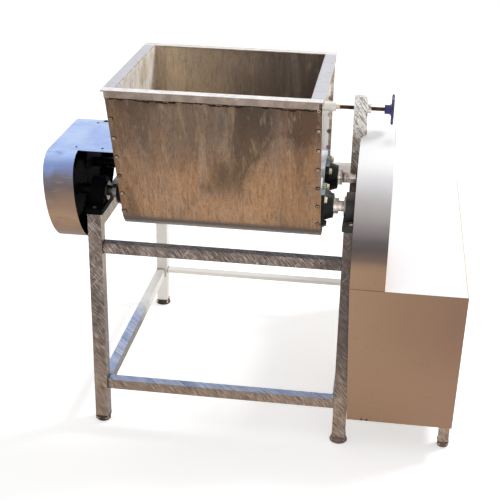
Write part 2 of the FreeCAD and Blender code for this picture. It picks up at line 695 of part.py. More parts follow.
def make_shafts():
    reach = f"({PAD_FACE} + insert_length)"
    for shaft, u, right in (("front", "0", "shaft_right"),
                            ("rear", CENTRES, f"{reach} + collar_length + rear_stub")):
        centre = along_line(u, "0")
        node(rod("X", "shaft_radius", f"shaft_left + {right}", "-shaft_left", *centre),
             f"{shaft}_shaft")
        collars = []
        for side, _ in FRAME_SIDES:
            x, length = side_x(side, reach, f"{reach} + collar_length")
            collars.append(ring("X", "collar_radius", "shaft_radius", length, x, *centre))
        node(group(collars), f"{shaft}_shaft_collars")
    make_paddles("front", "0", 0)
    make_paddles("rear", CENTRES, HALF_TURN / number("paddle_count"))


def arc_through(centre, radius, start, end):
    """An arc in Y and Z from one angle to another, in degrees from +Y towards +Z."""
    points = []
    for degrees in (start, (start + end) / 2, end):
        angle = math.radians(degrees)
        points.append(Vector(0, centre[0] + radius * math.cos(angle),
                             centre[1] + radius * math.sin(angle)))
    return Part.Arc(*points).toShape()


def closed_face(arcs):
    """Arcs in order, with a straight run from the end of each to the start of the next."""
    edges = []
    for k, arc in enumerate(arcs):
        edges.append(arc)
        end = arc.Vertexes[-1].Point
        start = arcs[(k + 1) % len(arcs)].Vertexes[0].Point
        if end.distanceToPoint(start) > TOUCHING:
            edges.append(Part.LineSegment(end, start).toShape())
    return Part.Face(Part.Wire(edges))


def shaped(shape, label):
    """A sub-part whose shape is worked out here, moved to the row origin."""
    feature = doc.addObject("Part::Feature", label)
    feature.Shape = shape
    away = Vector(-number(ORIGIN_X), -number(ORIGIN_Y), 0)
    feature.Placement = Placement(away, Rotation()).multiply(shape.Placement)
    return node(feature, label)


def guard_face(inset):
    """Side view of the gear guard, drawn this much inside its outer surface."""
    top = number("guard_top")
    corner = number("guard_corner")
    front = number("guard_front")
    big = number("guard_front_radius")
    low = number("guard_low_radius")
    turn = number("guard_turn")
    rear = (number(REAR_Y), number(REAR_Z))
    rear_radius = top - rear[1]
    corner_centre = (front + corner, top - corner)
    big_centre = (front + big, corner_centre[1])
    angle = math.radians(turn)
    low_centre = (big_centre[0] + (big - low) * math.cos(angle),
                  big_centre[1] + (big - low) * math.sin(angle))
    run = (rear[0] - low_centre[0], rear[1] - low_centre[1])
    lean = math.degrees(math.acos((low - rear_radius) / math.hypot(*run)))
    under = math.degrees(math.atan2(run[1], run[0])) - lean
    return closed_face([
        arc_through(corner_centre, corner - inset, 90, 180),
        arc_through(big_centre, big - inset, 180, turn),
        arc_through(low_centre, low - inset, turn, FULL_TURN + under),
        arc_through(rear, rear_radius - inset, under, 90),
    ])


def make_gear_guard():
    inner = number("guard_inner")
    outer = number("guard_outer")
    metal = number("guard_sheet")
    body = guard_face(0).extrude(Vector(outer - inner, 0, 0))
    hollow = guard_face(metal).extrude(Vector(outer - inner, 0, 0))
    body.translate(Vector(-outer, 0, 0))
    hollow.translate(Vector(-outer + metal, 0, 0))
    web = number("web_inside + end_sheet")
    top = number("guard_top")
    front = number("shelf_front")
    back = number(REAR_Y)
    shelf = Part.makeBox(inner - web, back - front, metal, Vector(-inner, front, top - metal))
    drop = number("shelf_flange")
    lip = Part.makeBox(metal, back - front, drop, Vector(-web - metal, front, top - drop))
    shaped(body.cut(hollow).fuse([shelf, lip]).removeSplitter(), "gear_guard")


def make_lock():
    post_x = "half_width - leg_tube"
    middle = "post_y + leg_tube / 2"
    shell = tube("Z", "leg_tube", "leg_tube", "tube_wall", "post_top - leg_top", post_x, "post_y",
                 "leg_top")
    hole = rod("X", "screw_rod + thread_fit", f"leg_tube + 2 * {SPARE}", f"{post_x} - {SPARE}",
               middle, "lock_z")
    nut = hexagon("X", "nut_radius", "nut_length", "half_width", middle, "lock_z")
    thread = rod("X", "screw_rod + thread_fit", "nut_length", "half_width", middle, "lock_z")
    cap = box(post_x, "post_y", "post_top", "leg_tube", "leg_tube", "post_cap")
    node(group([cut(shell, [hole]), cap, cut(nut, [thread])]), "lock_post")
    boss_x = "web_inside + end_sheet"
    node(rod("X", "boss_radius", "boss_length", boss_x, middle, "lock_z"), "lock_boss")
    tip_x = f"({boss_x} + boss_length + lock_gap)"
    node(rod("X", "tip_radius", "tip_length", tip_x, middle, "lock_z"), "lock_tip")
    rod_x = f"({tip_x} + tip_length)"
    node(rod("X", "screw_rod", f"screw_end - {rod_x}", rod_x, middle, "lock_z"), "lock_screw")
    wheel_x = "(screw_end - wheel_rim)"
    rim = doc.addObject("Part::Torus", "rim")
    bind(rim, Radius1="wheel_radius", Radius2="wheel_rim")
    place(rim, wheel_x, middle, "lock_z", ALONG["X"])
    web = rod("X", "wheel_radius", "wheel_web", f"{wheel_x} - wheel_web", middle, "lock_z")
    hub = rod("X", "wheel_hub", "wheel_hub_length", f"{wheel_x} - wheel_hub_length", middle,
              "lock_z")
    bore = rod("X", "screw_rod", "wheel_hub_length + 2 * wheel_rim",
               f"{wheel_x} - wheel_hub_length", middle, "lock_z")
    node(cut(join([rim, web, hub]), [bore]), "handwheel")


def loop_face(first, first_radius, second, second_radius):
    """The shape that a tight belt round two wheels encloses, in Y and Z."""
    run = (second[0] - first[0], second[1] - first[1])
    line = math.degrees(math.atan2(run[1], run[0]))
    spread = math.degrees(math.acos((first_radius - second_radius) / math.hypot(*run)))
    return closed_face([
        arc_through(first, first_radius, line + spread, line + FULL_TURN - spread),
        arc_through(second, second_radius, line - spread, line + spread),
    ])


def belt_loop(x, width, first, first_radius, second, second_radius, thick):
    outside = loop_face(first, first_radius + thick, second, second_radius + thick)
    inside = loop_face(first, first_radius, second, second_radius)
    band = outside.cut(inside).extrude(Vector(width, 0, 0))
    band.translate(Vector(x, 0, 0))
    return band


def sprocket_radius(teeth):
    return f"(chain_pitch / 2 / sin(180 / {teeth}))"


def make_chain_drive():
    for name, teeth, y, z in (("mixer", "mixer_teeth", "shaft_y", "shaft_z"),
                              ("counter", "counter_teeth", "counter_y", "counter_z")):
        radius = sprocket_radius(teeth)
        wheel = toothed_wheel(teeth, f"{radius} - tooth_height", f"{radius} + tooth_height",
                              "chain_pitch / 4", "chain_pitch / 10", "sprocket_width",
                              "shaft_radius", "sprocket_hub", "hub_step")
        place(wheel, "drive_left", y, z, wheel_turn(1, 90))
        node(wheel, f"{name}_sprocket")
    gap = number("tooth_height + chain_gap")
    first = (number("shaft_y"), number("shaft_z"))
    second = (number("counter_y"), number("counter_z"))
    chain = belt_loop(number("drive_left"), number("sprocket_width"), first,
                      number(sprocket_radius("mixer_teeth")) + gap, second,
                      number(sprocket_radius("counter_teeth")) + gap, number("chain_height"))
    shaped(chain, "drive_chain")


def grooved_pulley(radius, bore, hub, y, z):
    """A pulley for two belts, with a thin web where it is large."""
    blank = rod("X", radius, "pulley_width", "pulley_x", y, z)
    tools = [rod("X", bore, "pulley_width", "pulley_x", y, z)]
    for x in groove_places():
        tools.append(ring("X", f"{radius} + {SPARE}", f"{radius} - groove", "groove_width",
                          x, y, z))
    if number(radius) > number(f"pulley_rim + {hub} + pulley_rim"):
        side = "(pulley_width - pulley_web) / 2"
        for x in ("pulley_x", f"pulley_x + pulley_width - {side}"):
            tools.append(ring("X", f"{radius} - pulley_rim", hub, side, x, y, z))
    return cut(blank, tools)


def groove_places():
    land = "(pulley_width - 2 * groove_width) / 3"
    return [f"pulley_x + {land}", f"pulley_x + 2 * {land} + groove_width"]


def make_belt_drive():
    node(rod("X", "counter_radius", "counter_end - counter_start", "counter_start", "counter_y",
             "counter_z"), "countershaft")
    node(grooved_pulley("pulley_radius", "counter_radius", "pulley_hub", "counter_y",
                        "counter_z"), "large_pulley")
    node(grooved_pulley("motor_pulley", "motor_shaft", "motor_pulley / 2", "motor_y", "motor_z"),
         "motor_pulley")
    first = (number("counter_y"), number("counter_z"))
    second = (number("motor_y"), number("motor_z"))
    seat = number("groove - belt_gap")
    side = number("groove_width - belt_width") / 2
    belts = [belt_loop(number(x) + side, number("belt_width"), first,
                       number("pulley_radius") - seat, second, number("motor_pulley") - seat,
                       number("belt")) for x in groove_places()]
    shaped(Part.makeCompound(belts), "v_belts")
    stands = []
    housings = []
    inserts = []
    base = "low_bar_top + base_plate"
    for x in ("stand_x", "stand_two_x"):
        plate = box(x, "counter_y - stand_half", base, "stand_thick", "2 * stand_half",
                    f"stand_top - ({base})")
        hole = rod("X", "counter_radius + bore_room", "stand_thick", x, "counter_y", "counter_z")
        stands.append(cut(plate, [hole]))
        face = f"({x} + stand_thick)"
        flange = rod("X", "flange_half", "flange_thick", face, "counter_y", "counter_z")
        nose = rod("X", "nose_tip", "flange_thick", f"{face} + flange_thick", "counter_y",
                   "counter_z")
        bore = rod("X", "insert_radius", "2 * flange_thick", face, "counter_y", "counter_z")
        housings.append(cut(join([flange, nose]), [bore]))
        inserts.append(ring("X", "insert_radius", "counter_radius + running_fit",
                            "2 * flange_thick", face, "counter_y", "counter_z"))
    node(group(stands), "countershaft_stands")
    node(group(housings + inserts), "countershaft_bearings")


def make_motor():
    base = "(low_bar_top + base_plate)"
    body = rod("X", "motor_radius", "motor_length", "motor_start", "motor_y", "motor_z")
    inset_x = "(motor_start + motor_inset)"
    inset_length = "motor_length - 2 * motor_inset"
    foot = box(inset_x, "motor_y - motor_foot", base, inset_length, "2 * motor_foot",
               "motor_foot_thick")
    neck = box(inset_x, "motor_y - motor_neck", base, inset_length, "2 * motor_neck",
               f"motor_z - {base}")
    terminal = box("motor_start + 2 * motor_inset", "motor_y - motor_box / 2", "motor_z",
                   "motor_box", "motor_box", "motor_radius + motor_box_rise")
    bore = rod("X", "motor_shaft + bore_room", "motor_length", "motor_start", "motor_y",
               "motor_z")
    housing = cut(join([body, foot, neck, terminal]), [bore])
    end = "(motor_start + motor_length)"
    shell = rod("X", "motor_radius", "fan_cover", end, "motor_y", "motor_z")
    hollow = rod("X", "motor_radius - fan_sheet", "fan_cover - fan_sheet", end, "motor_y",
                 "motor_z")
    node(group([housing, cut(shell, [hollow])]), "motor_housing")
    fan_x = f"({end} + fan_gap)"
    node(rod("X", "motor_shaft", f"{fan_x} + fan_thick + fan_gap - pulley_x", "pulley_x",
             "motor_y", "motor_z"), "motor_shaft")
    node(ring("X", "fan_radius", "motor_shaft", "fan_thick", fan_x, "motor_y", "motor_z"),
         "motor_fan")


def make_cabinet():
    depth = "cover_back - cover_front"
    lean_x = "(cover_right_low - cover_sheet)"
    front_points = [("cover_left_low", "cover_low"), ("cover_right_low", "cover_low"),
                    ("cover_right_top", "cover_top"), ("cover_left_top", "cover_top")]
    front = prism("XZ", front_points, "cover_sheet", "0", "cover_front", "0")
    holes = [rod("Y", "hole_radius", "3 * cover_sheet", x, "cover_front - 2 * cover_sheet",
                 "cover_low + hole_up") for x in ("hole_x", "hole_x + hole_gap")]
    node(cut(front, holes), "cabinet_front")
    right_points = [(lean_x, "cover_low"), ("cover_right_low", "cover_low"),
                    ("cover_right_top", "cover_top"),
                    ("cover_right_top - cover_sheet", "cover_top")]
    right = prism("XZ", right_points, depth, "0", "cover_back", "0")
    left_x = "(half_width + cover_sheet)"
    top_z = "cover_top - cover_sheet"
    top = box("hood_right", "cover_front", top_z,
              "cover_right_top - cover_sheet / 2 - hood_right", depth, "cover_sheet")
    behind = box(left_x, "hood_back", top_z, f"hood_right - {left_x} + cover_sheet",
                 "cover_back - hood_back", "cover_sheet")
    back_points = [(left_x, "cover_low"), ("cover_right_low", "cover_low"),
                   ("cover_right_top", "cover_top"), (left_x, "cover_top")]
    back = prism("XZ", back_points, "cover_sheet", "0", "cover_back", "0")
    node(join([right, top, behind, back]), "cabinet_cover")
    leg_x = f"{lean_x} - cabinet_tube"
    pieces = []
    for y in ("cabinet_leg_front", "cabinet_leg_back"):
        pieces.append(tube("Z", "cabinet_tube", "cabinet_tube", "tube_wall",
                           f"{top_z} - foot_thick", leg_x, y, "foot_thick"))
        pieces.append(tube("X", "bar_tube", "bar_tube", "tube_wall", f"{leg_x} - {left_x}",
                           left_x, y, "low_bar_top - bar_tube"))
    between = "cabinet_leg_back - cabinet_leg_front - cabinet_tube"
    pieces.append(tube("Y", "bar_tube", "bar_tube", "tube_wall", between,
                       f"{leg_x} + (cabinet_tube - bar_tube) / 2",
                       "cabinet_leg_front + cabinet_tube", "low_bar_top - bar_tube"))
    node(group(pieces), "cabinet_frame")
    plate = box(left_x, "cabinet_leg_front + cabinet_tube", "low_bar_top",
                f"{leg_x} + cabinet_tube - {left_x}", between, "base_plate")
    node(plate, "motor_base_plate")


def hood_face(inset):
    """Side view of the drive hood, drawn this much inside its outer surface."""
    front = number("cover_front")
    radius = number("hood_radius")
    top = number("hood_top")
    low = number("cover_top")
    back = number("hood_back")
    bend = arc_through((front + radius, top - radius), radius - inset, 90, 180)
    corners = [Vector(0, front + inset, low), Vector(0, back - inset, low),
               Vector(0, back - inset, top - inset)]
    edges = [bend, Part.LineSegment(bend.Vertexes[-1].Point, corners[0]).toShape()]
    for start, end in zip(corners, corners[1:]):
        edges.append(Part.LineSegment(start, end).toShape())
    edges.append(Part.LineSegment(corners[2], bend.Vertexes[0].Point).toShape())
    return Part.Face(Part.Wire(edges))


def make_hood():
    left = number("cover_left_top")
    right = number("hood_right")
    metal = number("cover_sheet")
    body = guard_span(hood_face(0), left, right)
    start = left - number(SPARE)
    hollow = guard_span(hood_face(metal), start, right - metal)
    clear_x = number("half_width + hood_room")
    cut_front = number("post_y - hood_room - hood_cut")
    cut_back = number("post_y - hood_room")
    back = number(f"hood_back + {SPARE}")
    corner = Part.makePolygon([Vector(start, cut_front, 0), Vector(clear_x, cut_back, 0),
                               Vector(clear_x, back, 0), Vector(start, back, 0),
                               Vector(start, cut_front, 0)])
    notch = Part.Face(corner).extrude(Vector(0, 0, number(f"hood_top + {SPARE}")))
    shaped(body.cut(hollow).cut(notch).removeSplitter(), "drive_hood")
    inner_x = number("half_width")
    upper = guard_span(hood_face(metal), inner_x, inner_x + metal)
    floor_z = number("low_bar_top")
    depth = number("cover_back - cover_front - cover_sheet")
    lower = Part.makeBox(metal, depth, number("cover_top") - floor_z,
                         Vector(inner_x, number("cover_front"), floor_z))
    panel = upper.fuse(lower).removeSplitter()
    room = number("pillow_room")
    pillow_front = number(f"cover_front - {SPARE}")
    pillow_back = number("shaft_y + pillow_length / 2") + room
    pillow_top = number("shaft_z + pillow_shell") + room
    low = number(SEAT_TOP) - room
    spare = number(SPARE)
    opening = Part.makeBox(metal + 2 * spare, pillow_back - pillow_front, pillow_top - low,
                           Vector(inner_x - spare, pillow_front, low))
    shaped(panel.cut(opening), "drive_inner_panel")


def guard_span(face, start, end):
    solid = face.extrude(Vector(end - start, 0, 0))
    solid.translate(Vector(start, 0, 0))
    return solid


make_frame()
make_pillow_blocks()
make_trough()
make_flange_bearings()
make_shafts()
make_timing_gears()
make_gear_guard()
make_lock()
make_chain_drive()
make_belt_drive()
make_motor()
make_cabinet()
make_hood()
doc.recompute()

faults = [thing.Label for thing in doc.Objects
          if "Invalid" in thing.State or "Error" in thing.State]
for piece in nodes:
    if piece.Shape.isNull() or not piece.Shape.isValid() or not piece.Shape.Solids:
        faults.append(piece.Label)
if faults:
    raise RuntimeError("these did not build: " + ", ".join(faults))
os.makedirs("parts", exist_ok=True)
for piece in nodes:
    piece.Shape.exportStep(os.path.join("parts", piece.Label + ".step"))
print(len(nodes), "nodes written")
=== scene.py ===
import math

import bmesh
import bpy
from mathutils import Matrix, Vector


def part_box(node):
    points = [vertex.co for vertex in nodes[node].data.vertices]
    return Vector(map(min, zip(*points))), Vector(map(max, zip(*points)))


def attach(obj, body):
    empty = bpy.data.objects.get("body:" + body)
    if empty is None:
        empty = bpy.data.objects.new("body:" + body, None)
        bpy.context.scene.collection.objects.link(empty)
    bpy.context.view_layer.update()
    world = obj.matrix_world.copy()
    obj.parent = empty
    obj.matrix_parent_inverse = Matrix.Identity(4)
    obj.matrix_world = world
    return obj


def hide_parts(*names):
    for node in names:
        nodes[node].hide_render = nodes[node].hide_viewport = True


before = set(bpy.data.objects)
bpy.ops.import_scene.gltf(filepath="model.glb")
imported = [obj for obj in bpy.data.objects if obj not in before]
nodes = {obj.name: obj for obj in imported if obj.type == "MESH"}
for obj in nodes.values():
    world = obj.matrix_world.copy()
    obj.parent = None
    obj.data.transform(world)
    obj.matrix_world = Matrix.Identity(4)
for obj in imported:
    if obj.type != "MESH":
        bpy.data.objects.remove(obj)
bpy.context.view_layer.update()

# Camera, in the row frame, solved from the photograph's edges.
CAMERA_PLACE = (0.33038, -3.100776, 1.81474)
CAMERA_YAW = math.radians(7.44)
CAMERA_DOWN = math.radians(23.86)
CAMERA_ROLL = math.radians(-1.19)
CAMERA_LENS = 79.18
SENSOR = 36.0
CLIP_NEAR = 0.05
CLIP_FAR = 60

# Lamps and background.
SKY = 0.5
KEY = {"place": (2.5, 1.3, 3.5), "aim": (0.0, 0.0, 0.6), "size": 1.3, "power": 105}
FILL = {"place": (0.6, -3.6, 1.0), "aim": (0.0, 0.0, 0.6), "size": 2.6, "power": 17}
FLOOR_TONE = 0.92
FLOOR_GLOW = 0.52
FLOOR_REACH = 14
FLOOR_ROUGHNESS = 0.9
FLOOR_GLOSS = 0.1

# The lines of the finished machine that its stains and shadings follow, in metres.
WALL_TOP = 1.05
WALL_LOW = 0.74
BACK_WALL = -0.20
STREAK_DEGREES = 52
WALL_LEAN = 21.5


def make_camera():
    forward = Vector((-math.sin(CAMERA_YAW) * math.cos(CAMERA_DOWN),
                      math.cos(CAMERA_YAW) * math.cos(CAMERA_DOWN), -math.sin(CAMERA_DOWN)))
    level = Vector((math.cos(CAMERA_YAW), math.sin(CAMERA_YAW), 0))
    down = forward.cross(level)
    right = level * math.cos(CAMERA_ROLL) + down * math.sin(CAMERA_ROLL)
    under = down * math.cos(CAMERA_ROLL) - level * math.sin(CAMERA_ROLL)
    data = bpy.data.cameras.new("camera")
    data.lens = CAMERA_LENS
    data.sensor_width = SENSOR
    data.clip_start = CLIP_NEAR
    data.clip_end = CLIP_FAR
    camera = bpy.data.objects.new("camera", data)
    bpy.context.scene.collection.objects.link(camera)
    turn = Matrix((right, -under, -forward)).transposed().to_4x4()
    camera.matrix_world = Matrix.Translation(CAMERA_PLACE) @ turn
    bpy.context.scene.camera = camera


def middle_of(name):
    low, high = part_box(name)
    return (Vector(low) + Vector(high)) / 2


def linear(value):
    """One channel of a screen colour, 0 to 255, as the renderer's linear value."""
    value = value / 255
    return value / 12.92 if value <= 0.04045 else ((value + 0.055) / 1.055) ** 2.4


def tone(red, green, blue):
    """A colour given as it looks on a screen, 0 to 255."""
    return (linear(red), linear(green), linear(blue), 1.0)


class Graph:
    """One material's nodes, made from the texture towards the shader."""

    def __init__(self, name):
        self.material = bpy.data.materials.new(name)
        self.material.use_nodes = True
        self.tree = self.material.node_tree
        self.shader = self.tree.nodes["Principled BSDF"]
        self.place = self.tree.nodes.new("ShaderNodeTexCoord")
        self.x, self.y, self.z = self.split("Object")
        self.facing_x, self.facing_y, self.facing_z = self.split("Normal")

    def node(self, kind, settings=None, **inputs):
        made = self.tree.nodes.new("ShaderNode" + kind)
        for key, value in (settings or {}).items():
            setattr(made, key, value)
        for key, value in inputs.items():
            self.feed(made.inputs[key.replace("_", " ")], value)
        return made

    def feed(self, socket, value):
        if isinstance(value, bpy.types.NodeSocket):
            self.tree.links.new(value, socket)
        else:
            socket.default_value = value

    def split(self, output):
        parts = self.node("SeparateXYZ", Vector=self.place.outputs[output]).outputs
        return parts["X"], parts["Y"], parts["Z"]

    def noise(self, stretch, detail=4.0, rough=0.55, warp=0.0, scale=1.0, at=None):
        """Noise with this many features to a metre along each axis."""
        where = at or self.place.outputs["Object"]
        mapped = self.node("Mapping", Vector=where, Scale=stretch).outputs["Vector"]
        made = self.node("TexNoise", Vector=mapped, Scale=scale, Detail=detail, Roughness=rough,
                         Distortion=warp)
        return made.outputs["Fac"]

    def slanting(self, degrees, across, along, detail=4.0):
        """Streaks that fall to the right on every upright face, at this angle."""
        sine, cosine = math.sin(math.radians(degrees)), math.cos(math.radians(degrees))
        rows = ((sine, sine, cosine), (cosine, cosine, -sine))
        both = [self.node("VectorMath", {"operation": "DOT_PRODUCT"}) for _ in rows]
        for made, row in zip(both, rows):
            self.feed(made.inputs[0], self.place.outputs["Object"])
            made.inputs[1].default_value = row
        where = self.node("CombineXYZ", X=both[0].outputs["Value"],
                          Y=both[1].outputs["Value"]).outputs["Vector"]
        return self.noise((across, along, 1), detail=detail, rough=0.6, warp=0.25, at=where)

    def span(self, value, low, high, first=0.0, last=1.0, kind="SMOOTHSTEP"):
        made = self.node("MapRange", {"interpolation_type": kind}, Value=value)
        made.inputs["From Min"].default_value = low
        made.inputs["From Max"].default_value = high
        made.inputs["To Min"].default_value = first
        made.inputs["To Max"].default_value = last
        return made.outputs["Result"]

    def math(self, operation, *values):
        made = self.node("Math", {"operation": operation})
        for k, value in enumerate(values):
            self.feed(made.inputs[k], value)
        return made.outputs[0]

    def all_of(self, *masks):
        whole = masks[0]
        for mask in masks[1:]:
            whole = self.math("MULTIPLY", whole, mask)
        return whole

    def ramp(self, value, low, high, stops):
        """Tones at places between low and high. The first two stops are the two ends."""
        made = self.node("ValToRGB", Fac=self.span(value, low, high, kind="LINEAR"))
        points = made.color_ramp.elements
        for k, (place, colour) in enumerate(stops):
            share = (place - low) / (high - low)
            point = points[k] if k < 2 else points.new(share)
            point.position = share
            point.color = colour
        return made.outputs["Color"]

    def mix(self, share, first, second, blend="MIX"):
        made = self.node("Mix", {"data_type": "RGBA", "blend_type": blend})
        self.feed(made.inputs[0], share)
        self.feed(made.inputs[6], first)
        self.feed(made.inputs[7], second)
        return made.outputs[2]

    def over(self, colour, second, mask, low=0.0, high=1.0, most=1.0):
        """Lays a second colour where the mask runs from low to high, at most this strong."""
        return self.mix(self.span(mask, low, high, 0.0, most), colour, second)

    def bump(self, height, strength, distance=0.0005, under=None):
        made = self.node("Bump", Height=height, Strength=strength, Distance=distance)
        if under is not None:
            self.feed(made.inputs["Normal"], under)
        return made.outputs["Normal"]

    def lines(self, mask, width):
        """1 along the thin lines where the mask passes its middle value."""
        away = self.math("ABSOLUTE", self.math("SUBTRACT", mask, 0.5))
        return self.span(away, width, 0.0)

    def close(self, colour, rough, metal=1.0, normal=None, gloss=0.5):
        self.feed(self.shader.inputs["Base Color"], colour)
        self.feed(self.shader.inputs["Roughness"], rough)
        self.feed(self.shader.inputs["Metallic"], metal)
        self.shader.inputs["Specular IOR Level"].default_value = gloss
        if normal is not None:
            self.feed(self.shader.inputs["Normal"], normal)
        return self.material


def water_marks(g, colour, dark, light, strength=1.0):
    """Upright bands, drips and fine streaks, dried edges and slanting scuffs on a wall."""
    bands = g.noise((24, 1, 2.6), detail=3, rough=0.55, warp=0.7)
    drips = g.noise((120, 3, 15), detail=5, rough=0.66, warp=0.45)
    blots = g.noise((58, 1, 17), detail=6, rough=0.66, warp=0.5)
    hair = g.noise((380, 6, 46), detail=3, rough=0.6)
    scuffs = g.slanting(38, 130, 14, detail=5)
    where = g.noise((9, 1, 7), detail=2, rough=0.5)
    colour = g.over(colour, dark, bands, 0.48, 0.30, 0.34 * strength)
    colour = g.over(colour, light, bands, 0.54, 0.72, 0.30 * strength)
    colour = g.over(colour, dark, blots, 0.48, 0.32, 0.36 * strength)
    colour = g.over(colour, light, blots, 0.54, 0.72, 0.30 * strength)
    colour = g.over(colour, dark, g.all_of(g.span(drips, 0.50, 0.36), g.span(where, 0.42, 0.56)),
                    most=0.30 * strength)
    colour = g.over(colour, light, drips, 0.57, 0.70, 0.24 * strength)
    colour = g.over(colour, dark, hair, 0.49, 0.34, 0.38 * strength)
    edges = g.all_of(g.lines(blots, 0.018), g.span(where, 0.58, 0.44))
    colour = g.over(colour, g.mix(0.5, dark, tone(30, 22, 18)), edges, most=0.55 * strength)
    folds = g.noise((13, 1, 17), detail=7, rough=0.7, warp=1.6)
    creases = g.all_of(g.lines(folds, 0.007), g.span(where, 0.42, 0.56))
    colour = g.over(colour, tone(40, 29, 22), creases, most=0.75 * strength)
    marks = g.all_of(g.span(scuffs, 0.62, 0.70), g.span(where, 0.50, 0.60))
    colour = g.over(colour, light, marks, most=0.2 * strength)
    return colour, drips, hair


def trough_steel():
    """Stained sheet: a grey middle, a painted warm reflection low and to the right, a painted dark
    reflection slanting across it, and painted light and shadow inside.
    """
    g = Graph("trough_steel")
    cloud = g.noise((11, 1, 8), detail=5, rough=0.62, warp=0.5)
    sway = g.span(cloud, 0.25, 0.75, -0.035, 0.035, kind="LINEAR")
    height = g.math("ADD", g.z, sway)
    across = g.math("ADD", g.x, sway)
    # painted reflection: the front wall stands in shade and is painted with the warm ground it
    # reflects, warm and light low down, darker up towards the rim
    front = g.ramp(height, WALL_LOW, WALL_TOP, [
        (0.74, tone(176, 138, 109)), (1.05, tone(92, 74, 62)), (0.82, tone(166, 130, 103)),
        (0.90, tone(139, 110, 92)), (0.99, tone(114, 91, 78))])
    grey = g.all_of(g.span(across, -0.30, -0.22), g.span(across, 0.0, -0.08),
                    g.span(height, 0.84, 0.94), g.span(height, 1.055, 1.03))
    front = g.over(front, tone(120, 103, 93), grey, most=0.7)
    front = g.over(front, tone(106, 83, 63), across, -0.31, -0.37, 0.6)
    shade = g.all_of(g.span(across, -0.34, -0.31), g.span(across, -0.26, -0.30),
                     g.span(height, 0.88, 0.94))
    front = g.over(front, tone(92, 74, 64), shade, most=0.5)
    corner = g.all_of(g.span(across, 0.04, 0.10), g.span(height, 0.92, 0.98))
    front = g.over(front, tone(84, 61, 49), corner, most=0.75)
    glow = g.all_of(g.span(across, 0.0, 0.08), g.span(height, 0.94, 0.90))
    front = g.over(front, tone(140, 105, 80), glow, most=0.5)
    # a painted dark reflection, a shadow-like band, runs straight down and then slants to the left
    lean = g.span(height, 0.95, 0.83, 0.0, 0.067, kind="LINEAR")
    beside = g.math("SUBTRACT", g.math("ADD", across, lean), 0.011)
    dark_reflection = g.all_of(g.span(beside, 0.046, 0.006), g.span(beside, -0.13, -0.02),
                     g.span(height, 0.72, 0.84))
    front = g.over(front, tone(56, 47, 40), dark_reflection, most=0.66)
    front, drips, hair = water_marks(g, front, tone(80, 60, 48), tone(190, 164, 142))
    hue = g.noise((16, 1, 7), detail=4, rough=0.6, warp=0.8)
    tint = g.mix(g.span(hue, 0.36, 0.62), (0.96, 1.0, 0.97, 1.0), (1.05, 0.99, 0.84, 1.0))
    front = g.mix(1.0, front, tint, "MULTIPLY")
    # painted reflection: where the sheet turns under, it is painted with the dark of the floor
    # behind
    front = g.over(front, tone(110, 100, 94), g.facing_z, -0.40, -0.62, 0.85)
    # painted light and shadow inside: the back wall is painted lit at its left and darker towards
    # the right, in the right wall's shadow
    inside = g.ramp(across, -0.38, 0.17, [
        (-0.38, tone(222, 204, 176)), (0.17, tone(110, 99, 93)), (-0.30, tone(240, 216, 184)),
        (-0.20, tone(206, 184, 158)), (-0.10, tone(164, 146, 130)), (0.02, tone(124, 111, 103))])
    lit = g.all_of(g.span(height, 0.98, 1.05), g.span(across, -0.05, -0.25))
    inside = g.over(inside, tone(134, 112, 88), lit, most=0.12)
    inside = water_marks(g, inside, tone(92, 80, 68), tone(232, 216, 190), 0.62)[0]
    within = g.all_of(g.span(g.y, BACK_WALL - 0.05, BACK_WALL + 0.05),
                      g.span(g.facing_y, 0.0, -0.3))
    colour = g.mix(within, front, inside)
    rough = g.span(drips, 0.3, 0.7, 0.34, 0.50)
    relief = g.bump(hair, 0.2, 0.0004, g.bump(cloud, 0.5, 0.004))
    return g.close(colour, rough, g.span(within, 0.0, 1.0, 0.7, 0.2), relief)


def end_steel():
    """The end plates: pale webs with brown smears and crossing scratches, painted shade on their
    outsides, and beige-brown rear flanges, painted white in part as a highlight.
    """
    g = Graph("end_steel")
    cloud = g.noise((1, 13, 13), detail=5, rough=0.6, warp=0.6)
    smear = g.noise((3, 60, 24), detail=6, rough=0.66, warp=0.6)
    scratch = g.slanting(-48, 260, 12, detail=4)
    deep = g.slanting(52, 160, 8, detail=3)
    colour = g.mix(g.span(cloud, 0.28, 0.56), tone(224, 208, 184), tone(255, 251, 244))
    colour = g.over(colour, tone(140, 114, 88), smear, 0.44, 0.34, 0.55)
    colour = g.over(colour, tone(100, 80, 62), g.all_of(g.lines(cloud, 0.012),
                                                        g.span(smear, 0.5, 0.42)), most=0.45)
    colour = g.over(colour, tone(255, 252, 246), scratch, 0.56, 0.66, 0.7)
    colour = g.over(colour, tone(130, 108, 86), deep, 0.34, 0.28, 0.5)
    # painted shade: the outsides get a darker grey-brown tone, except beside the front wall, where
    # a painted highlight stands for the light catching them
    left_out = g.all_of(g.span(g.facing_x, -0.3, -0.6), g.span(g.x, -0.3, -0.36))
    right_out = g.all_of(g.span(g.facing_x, 0.3, 0.6), g.span(g.x, 0.1, 0.14))
    darkened = g.mix(g.span(cloud, 0.3, 0.7), tone(150, 134, 120), tone(190, 176, 162))
    darkened = g.over(darkened, tone(220, 208, 196), scratch, 0.56, 0.66, 0.4)
    colour = g.mix(g.math("MAXIMUM", left_out, right_out), colour, darkened)
    lit = g.all_of(right_out, g.span(g.z, 0.74, 0.80))
    colour = g.over(colour, tone(252, 248, 243), lit, most=0.85)
    flange = g.mix(g.span(smear, 0.36, 0.62), tone(160, 142, 128), tone(226, 214, 202))
    flange = g.over(flange, tone(110, 92, 80), g.lines(smear, 0.03), most=0.5)
    # painted highlight: the part of the rear flange next to the web is painted white where the
    # light falls on it
    flange = g.mix(g.all_of(g.span(g.x, 0.156, 0.153), g.span(g.x, 0.1, 0.12)), flange,
                   tone(255, 254, 252))
    colour = g.mix(g.span(g.facing_y, -0.5, -0.9), colour, flange)
    return g.close(colour, g.span(smear, 0.3, 0.7, 0.36, 0.5), 0.1, g.bump(smear, 0.2))


